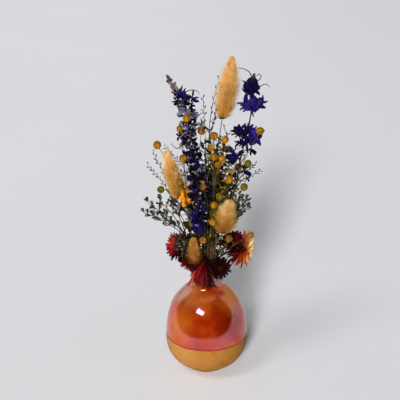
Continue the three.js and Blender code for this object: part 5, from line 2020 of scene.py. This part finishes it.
FLAX = (
    Flax("left", Stem((2, 180), ((-13, 8, 140), (-26, 13, 172))),
         (Pod(Tip(-42.6, 10, 208.4), 0.62, 3.7, (-0.3, -0.5, 0.8)), Pod(Tip(-39.9, 3, 170.4), 0.08, 3.2)),
         seed=1),
    Flax("upper_left", Stem((1, 120), ((-4, 8, 155), (-8, 10, 195))),
         (Pod(Tip(-11.9, 12, 218), 0.5, 3.3), Pod(Tip(-4.6, 14, 219.7), 0.65, 3.5)), seed=2),
    Flax("middle", Stem((1, 300), ((4, -10, 145), (6, -12.5, 182))), (
        Pod(Tip(5.7, -10, 221.9), 0.6, 3.7, (-0.3, -0.5, 0.8)),
        Pod(Tip(14.9, -8, 218.3), 0.7, 3.3, (0.5, -0.4, 0.7)),
        Pod(Tip(3.2, -14, 212.7), 0.78, 3.1, (-0.6, -0.6, 0.2)), Pod(Tip(5.7, -18.5, 206.3), 0.55, 3.5),
        Pod(Tip(12.8, -16, 203.3), 0.72, 3.6, (0.6, -0.5, 0.4)),
        Pod(Tip(9, -20, 199.8), 0.66, 3.0, (0.1, -0.9, 0.1)),
    ), seed=3),
    Flax("right", Stem((2, 330), ((13, -8, 142), (22, -10, 167))), (
        Pod(Tip(43.9, -8, 225.6, 0, 3), 0.35, 3.6, (0.95, -0.1, 0.1)), Pod(Tip(34.3, -12, 198.6), 0.1, 3.2),
        Pod(Tip(31.1, -16, 179.2), 0.12, 3.3), Pod(Tip(18.6, -20, 187.2), 0.66, 3.5),
    ), leafage=Leafage(115, 165, 10, 8), seed=4),
    Flax("front", Stem((3, 280), ((2.6, -16.5, 124), (2.6, -27, 140))), (
        Pod(Tip(5.7, -31, 168.6), 0.62, 3.2), Pod(Tip(4.9, -34.5, 154.9), 0.7, 3.3),
        Pod(Tip(10.5, -27, 174.5), 0.12, 3.6),
        Pod(Tip(-3.6, -40, 140.8), 0.7, 3.0), Pod(Tip(-3.4, -33, 185, 3, 0), 0.95, 3.1, (-0.5, -0.6, 0.4)),
    ), leafage=Leafage(108, 140, 9, 8), seed=5),
    Flax("left_front", Stem((3, 220), ((-10.5, -13.5, 124), (-15.5, -20, 150), (-18, -20, 172))), (
        Pod(Tip(-20, -16, 204.2), 0.6, 3.6, (-0.4, -0.5, 0.7)), Pod(Tip(-22.6, -25, 186.7), 0.45, 3.3),
        Pod(Tip(-17, -10, 236.7, 0, 10), 0.6, 3.3), Pod(Tip(-22.5, -8, 227.6, 0, 8), 0.45, 2.9),
    ), leafage=Leafage(108, 160, 10, 8), seed=6),
    Flax("right_low", Stem((3, 320), ((12.5, -20.5, 119),)),
         (Pod(Tip(18.3, -36, 140.7), 0.4, 2.9), Pod(Tip(36.9, -24, 139, 0, -3), 0.5, 2.9)),
         leafage=Leafage(105, 119, 6, 8), seed=7),
    Flax("back", Stem((3, 60), ((8, 17, 130), (12, 22, 165))), (
        Pod(Tip(18, 26, 200), 0.4), Pod(Tip(28, 24, 184), 0.6), Pod(Tip(6, 30, 190), 0.2),
        Pod(Tip(12, 34, 172), 0.6),
    ), leafage=Leafage(110, 160, 12, 9), seed=8),
)

STATICE = (
    Statice("left", Stem((3, 180), ((-15, -2.5, 124), (-25, -5, 139))), (
        Tip(-53, -4, 151), Tip(-49, -3, 158.5), Tip(-41, 0, 161.5), Tip(-30, 0, 158.5), Tip(-36, -9, 149.5),
        Tip(-45, -6, 149),
    ), pale=0.28, leafage=Leafage(104, 132, 8, 8), seed=1),
    Statice("right", Stem((3, 20), ((15, 3, 124), (23, -1, 143))), (
        Tip(24.5, -8, 159.5), Tip(27, -8, 167), Tip(33, -6, 164), Tip(34.5, -6, 157), Tip(28.6, -8, 154),
    ), leafage=Leafage(104, 150, 14, 9), seed=2),
    Statice("front", Stem((2, 240), ((-8, -14, 119.5), (-15.5, -29, 124.5))), (
        Tip(-27, -37, 141), Tip(-22.5, -39, 142), Tip(-18.5, -38, 137), Tip(-26, -37, 131.5),
        Tip(-20, -40, 128.5), Tip(-24, -38, 136.5), Tip(-28, -36, 136), Tip(-21, -39, 133.5),
    ), pale=0.1, calyx_size=0.62, leafage=Leafage(104, 126, 10, 10), seed=3),
    Statice("back", Stem((3, 100), ((-4, 20, 128), (-5, 27, 145))), (
        Tip(-22, 30, 164), Tip(-6, 33, 176), Tip(8, 36, 158), Tip(-14, 38, 150), Tip(-30, 24, 150),
    ), leafage=Leafage(104, 145, 10, 9), seed=4),
)

GRASSES = (
    SeedGrass("left", Stem((3, 160), ((-16, 4, 132), (-28, 6, 155))), (Tip(-50.5, 6, 191), Tip(-46, 11, 201)),
              seed=1),
    SeedGrass("left_back", Stem((2, 120), ((-6, 11, 140), (-13, 13, 172))),
              (Tip(-35.6, 12, 206), Tip(-22, 17, 206)), seed=2),
    SeedGrass("tall", Stem((1, 60), ((2, 8, 160), (1.5, 11, 205), (2.4, 12, 228))),
              (Tip(10, 14, 264), Tip(21, 13, 238)), seed_from=0.05, seeds=8, seed=3),
    SeedGrass("middle", Stem((0, 0), ((0.2, -0.5, 140), (-0.6, -1.5, 195))),
              (Tip(-3.4, -2, 252), Tip(6.9, -4, 239.5)), seed=4),
    SeedGrass("right", Stem((2, 30), ((13, 7, 140), (23, 10, 168))), (Tip(45, 0, 188), Tip(42, 9, 192)),
              seed=5),
)

FILLERS = (
    Filler("middle", Stem((2, 60), ((5, 9, 135),)), (
        Tip(0, 12, 186), Tip(9, 13, 192), Tip(20, 13, 182), Tip(27, 15, 168), Tip(4, 4, 176), Tip(14, 3, 170),
        Tip(22, 5, 160), Tip(10, 5, 158), Tip(17, 8, 176), Tip(-4, 8, 166), Tip(8, -4, 168), Tip(18, -4, 176),
        Tip(2, -2, 188), Tip(12, -2, 196), Tip(25, 2, 178), Tip(2, 8, 222), Tip(10, 9, 214), Tip(17, 6, 220),
        Tip(24, 6, 206), Tip(-3, 8, 210), Tip(14, 2, 208), Tip(29, 4, 194), Tip(6, 6, 204), Tip(20, 0, 198),
        Tip(8, 0, 212),
    ), leaves=56, runners=10, leafage=Leafage(104, 135, 70, 13, 2.2), seed=1),
    Filler("left", Stem((3, 140), ((-11, 12, 130),)),
           (Tip(-14, 17, 182), Tip(-26, 16, 172), Tip(-32, 18, 160), Tip(-18, 8, 160), Tip(-10, 9, 168)),
           leaves=30, leafage=Leafage(104, 130, 50, 12, 2.2), seed=2),
)


# ---------------------------------------------------------------- studio

ROOM_TINT = (0.97, 0.98, 1.0, 1.0)


class Sun(NamedTuple):
    """A far light: the way that it comes from, in degrees, its strength and its width."""

    turn: float
    rise: float
    energy: float
    width: float


@dataclass
class Studio:
    """A pale paper floor, a soft pale room with one dark side, three far lights and a window."""

    dresser: Dresser
    camera_at: Place = (-5.9, -656.0, 398.0)
    camera_down: float = 19.8
    lens: float = 72.45
    sight: float = 60.0
    floor_size: float = 60.0
    globe_radius: float = 8.0
    room_light: float = 0.20
    shine: float = 0.45
    suns: tuple[Sun, ...] = (Sun(-11, 20, 3.0, 9), Sun(-9, 29, 1.4, 10), Sun(-50, 52, 0.65, 18))
    window_aim: Place = (0, 0, 0.07)
    window_way: Place = (-0.32, -0.74, 0.59)
    window_distance: float = 0.95
    window_size: tuple[float, float] = (0.34, 0.19)
    window_slant: float = -18.0
    window_light: float = 3.0
    card_radius: float = 1.4
    card_height: float = 2.6
    card_inner: float = 0.15
    card_gap: float = 0.002

    def build(self) -> None:
        """Make the camera, the floor and the lights."""
        self.make_camera()
        self.make_floor()
        self.make_dark_side()
        self.make_bright_room()
        self.make_room()
        for sun in self.suns:
            self.make_sun(sun)
        self.make_window()
        bpy.context.scene.view_settings.view_transform = "Standard"

    def make_camera(self) -> None:
        """Put the camera where the photograph was taken from."""
        deselect_all()
        place = [c * MM for c in self.camera_at]
        bpy.ops.object.camera_add(location=place, rotation=(math.radians(90 - self.camera_down), 0, 0))
        camera = bpy.context.object
        camera.data.lens = self.lens
        camera.data.clip_end = self.sight
        bpy.context.scene.camera = camera

    def make_floor(self) -> None:
        """Lay the paper."""
        deselect_all()
        bpy.ops.mesh.primitive_plane_add(size=self.floor_size)
        floor = bpy.context.object
        floor.name = "paper_floor"
        floor.data.materials.append(self.dresser.material(PaperFinish()))

    def make_dark_side(self) -> None:
        """Stand a dark curved card round the vase, which only shows in the glaze."""
        deselect_all()
        bpy.ops.mesh.primitive_cylinder_add(
            vertices=96, radius=self.card_radius, depth=self.card_height, end_fill_type="NOTHING",
            location=(0, 0, self.card_height / 2 + self.card_gap),
        )
        bpy.ops.object.transform_apply(location=True)
        card = bpy.context.object
        card.name = "dark_side"
        with Edit() as edit:
            edit.pick(lambda co: co.z < 2 * self.card_gap)
            edit.grow(0, 0, 0)
            share = self.card_inner / self.card_radius
            edit.scale(share, share, 1)
        card.data.materials.append(self.dresser.material(DarkCard()))
        card.visible_camera = card.visible_diffuse = card.visible_shadow = False

    def make_bright_room(self) -> None:
        """Hang a large pale globe round the studio, which only shows as shine."""
        deselect_all()
        bpy.ops.mesh.primitive_uv_sphere_add(segments=32, ring_count=16, radius=self.globe_radius)
        globe = bpy.context.object
        globe.name = "bright_room"
        shader = Shader("bright_room")
        lit = shader.node("ShaderNodeEmission", {}, {"Color": ROOM_TINT, "Strength": self.shine})
        globe.data.materials.append(shader.finished(lit))
        globe.visible_camera = globe.visible_diffuse = globe.visible_shadow = False

    def make_room(self) -> None:
        """Light everything evenly from all round."""
        world = bpy.data.worlds.new("pale_room")
        world.use_nodes = True
        background = world.node_tree.nodes["Background"]
        background.inputs["Color"].default_value = ROOM_TINT
        background.inputs["Strength"].default_value = self.room_light
        bpy.context.scene.world = world

    def make_sun(self, sun: Sun) -> None:
        """Add a far light."""
        deselect_all()
        turn, rise = math.radians(sun.turn), math.radians(sun.rise)
        way = Vector((math.sin(turn), -math.cos(turn), math.tan(rise)))
        bpy.ops.object.light_add(type="SUN", rotation=way.to_track_quat("Z", "Y").to_euler())
        lamp = bpy.context.object
        lamp.data.energy = sun.energy
        lamp.data.angle = math.radians(sun.width)
        lamp.visible_glossy = False

    def make_window(self) -> None:
        """Add the window that shines in the glaze."""
        deselect_all()
        way = Vector(self.window_way).normalized()
        place = Vector(self.window_aim) + way * self.window_distance
        turned = way.to_track_quat("Z", "Y") @ Quaternion((0, 0, 1), math.radians(self.window_slant))
        bpy.ops.object.light_add(type="AREA", location=place, rotation=turned.to_euler())
        window = bpy.context.object
        window.data.shape = "RECTANGLE"
        window.data.size, window.data.size_y = self.window_size
        window.data.energy = self.window_light
        window.visible_camera = window.visible_diffuse = False


def main() -> None:
    """Build the studio, the vase and the plants, and report each piece."""
    logging.basicConfig(level=logging.INFO, format="%(name)s: %(message)s")
    deselect_all()
    dresser = Dresser()
    Studio(dresser).build()
    Vase(dresser).build()
    bench = Bench(dresser)
    for plant in (*TAILS, *STRAWFLOWERS, *LARKSPURS, *FLAX, *STATICE, *GRASSES, *FILLERS):
        plant.build(bench)


if __name__ == "__main__":
    main()
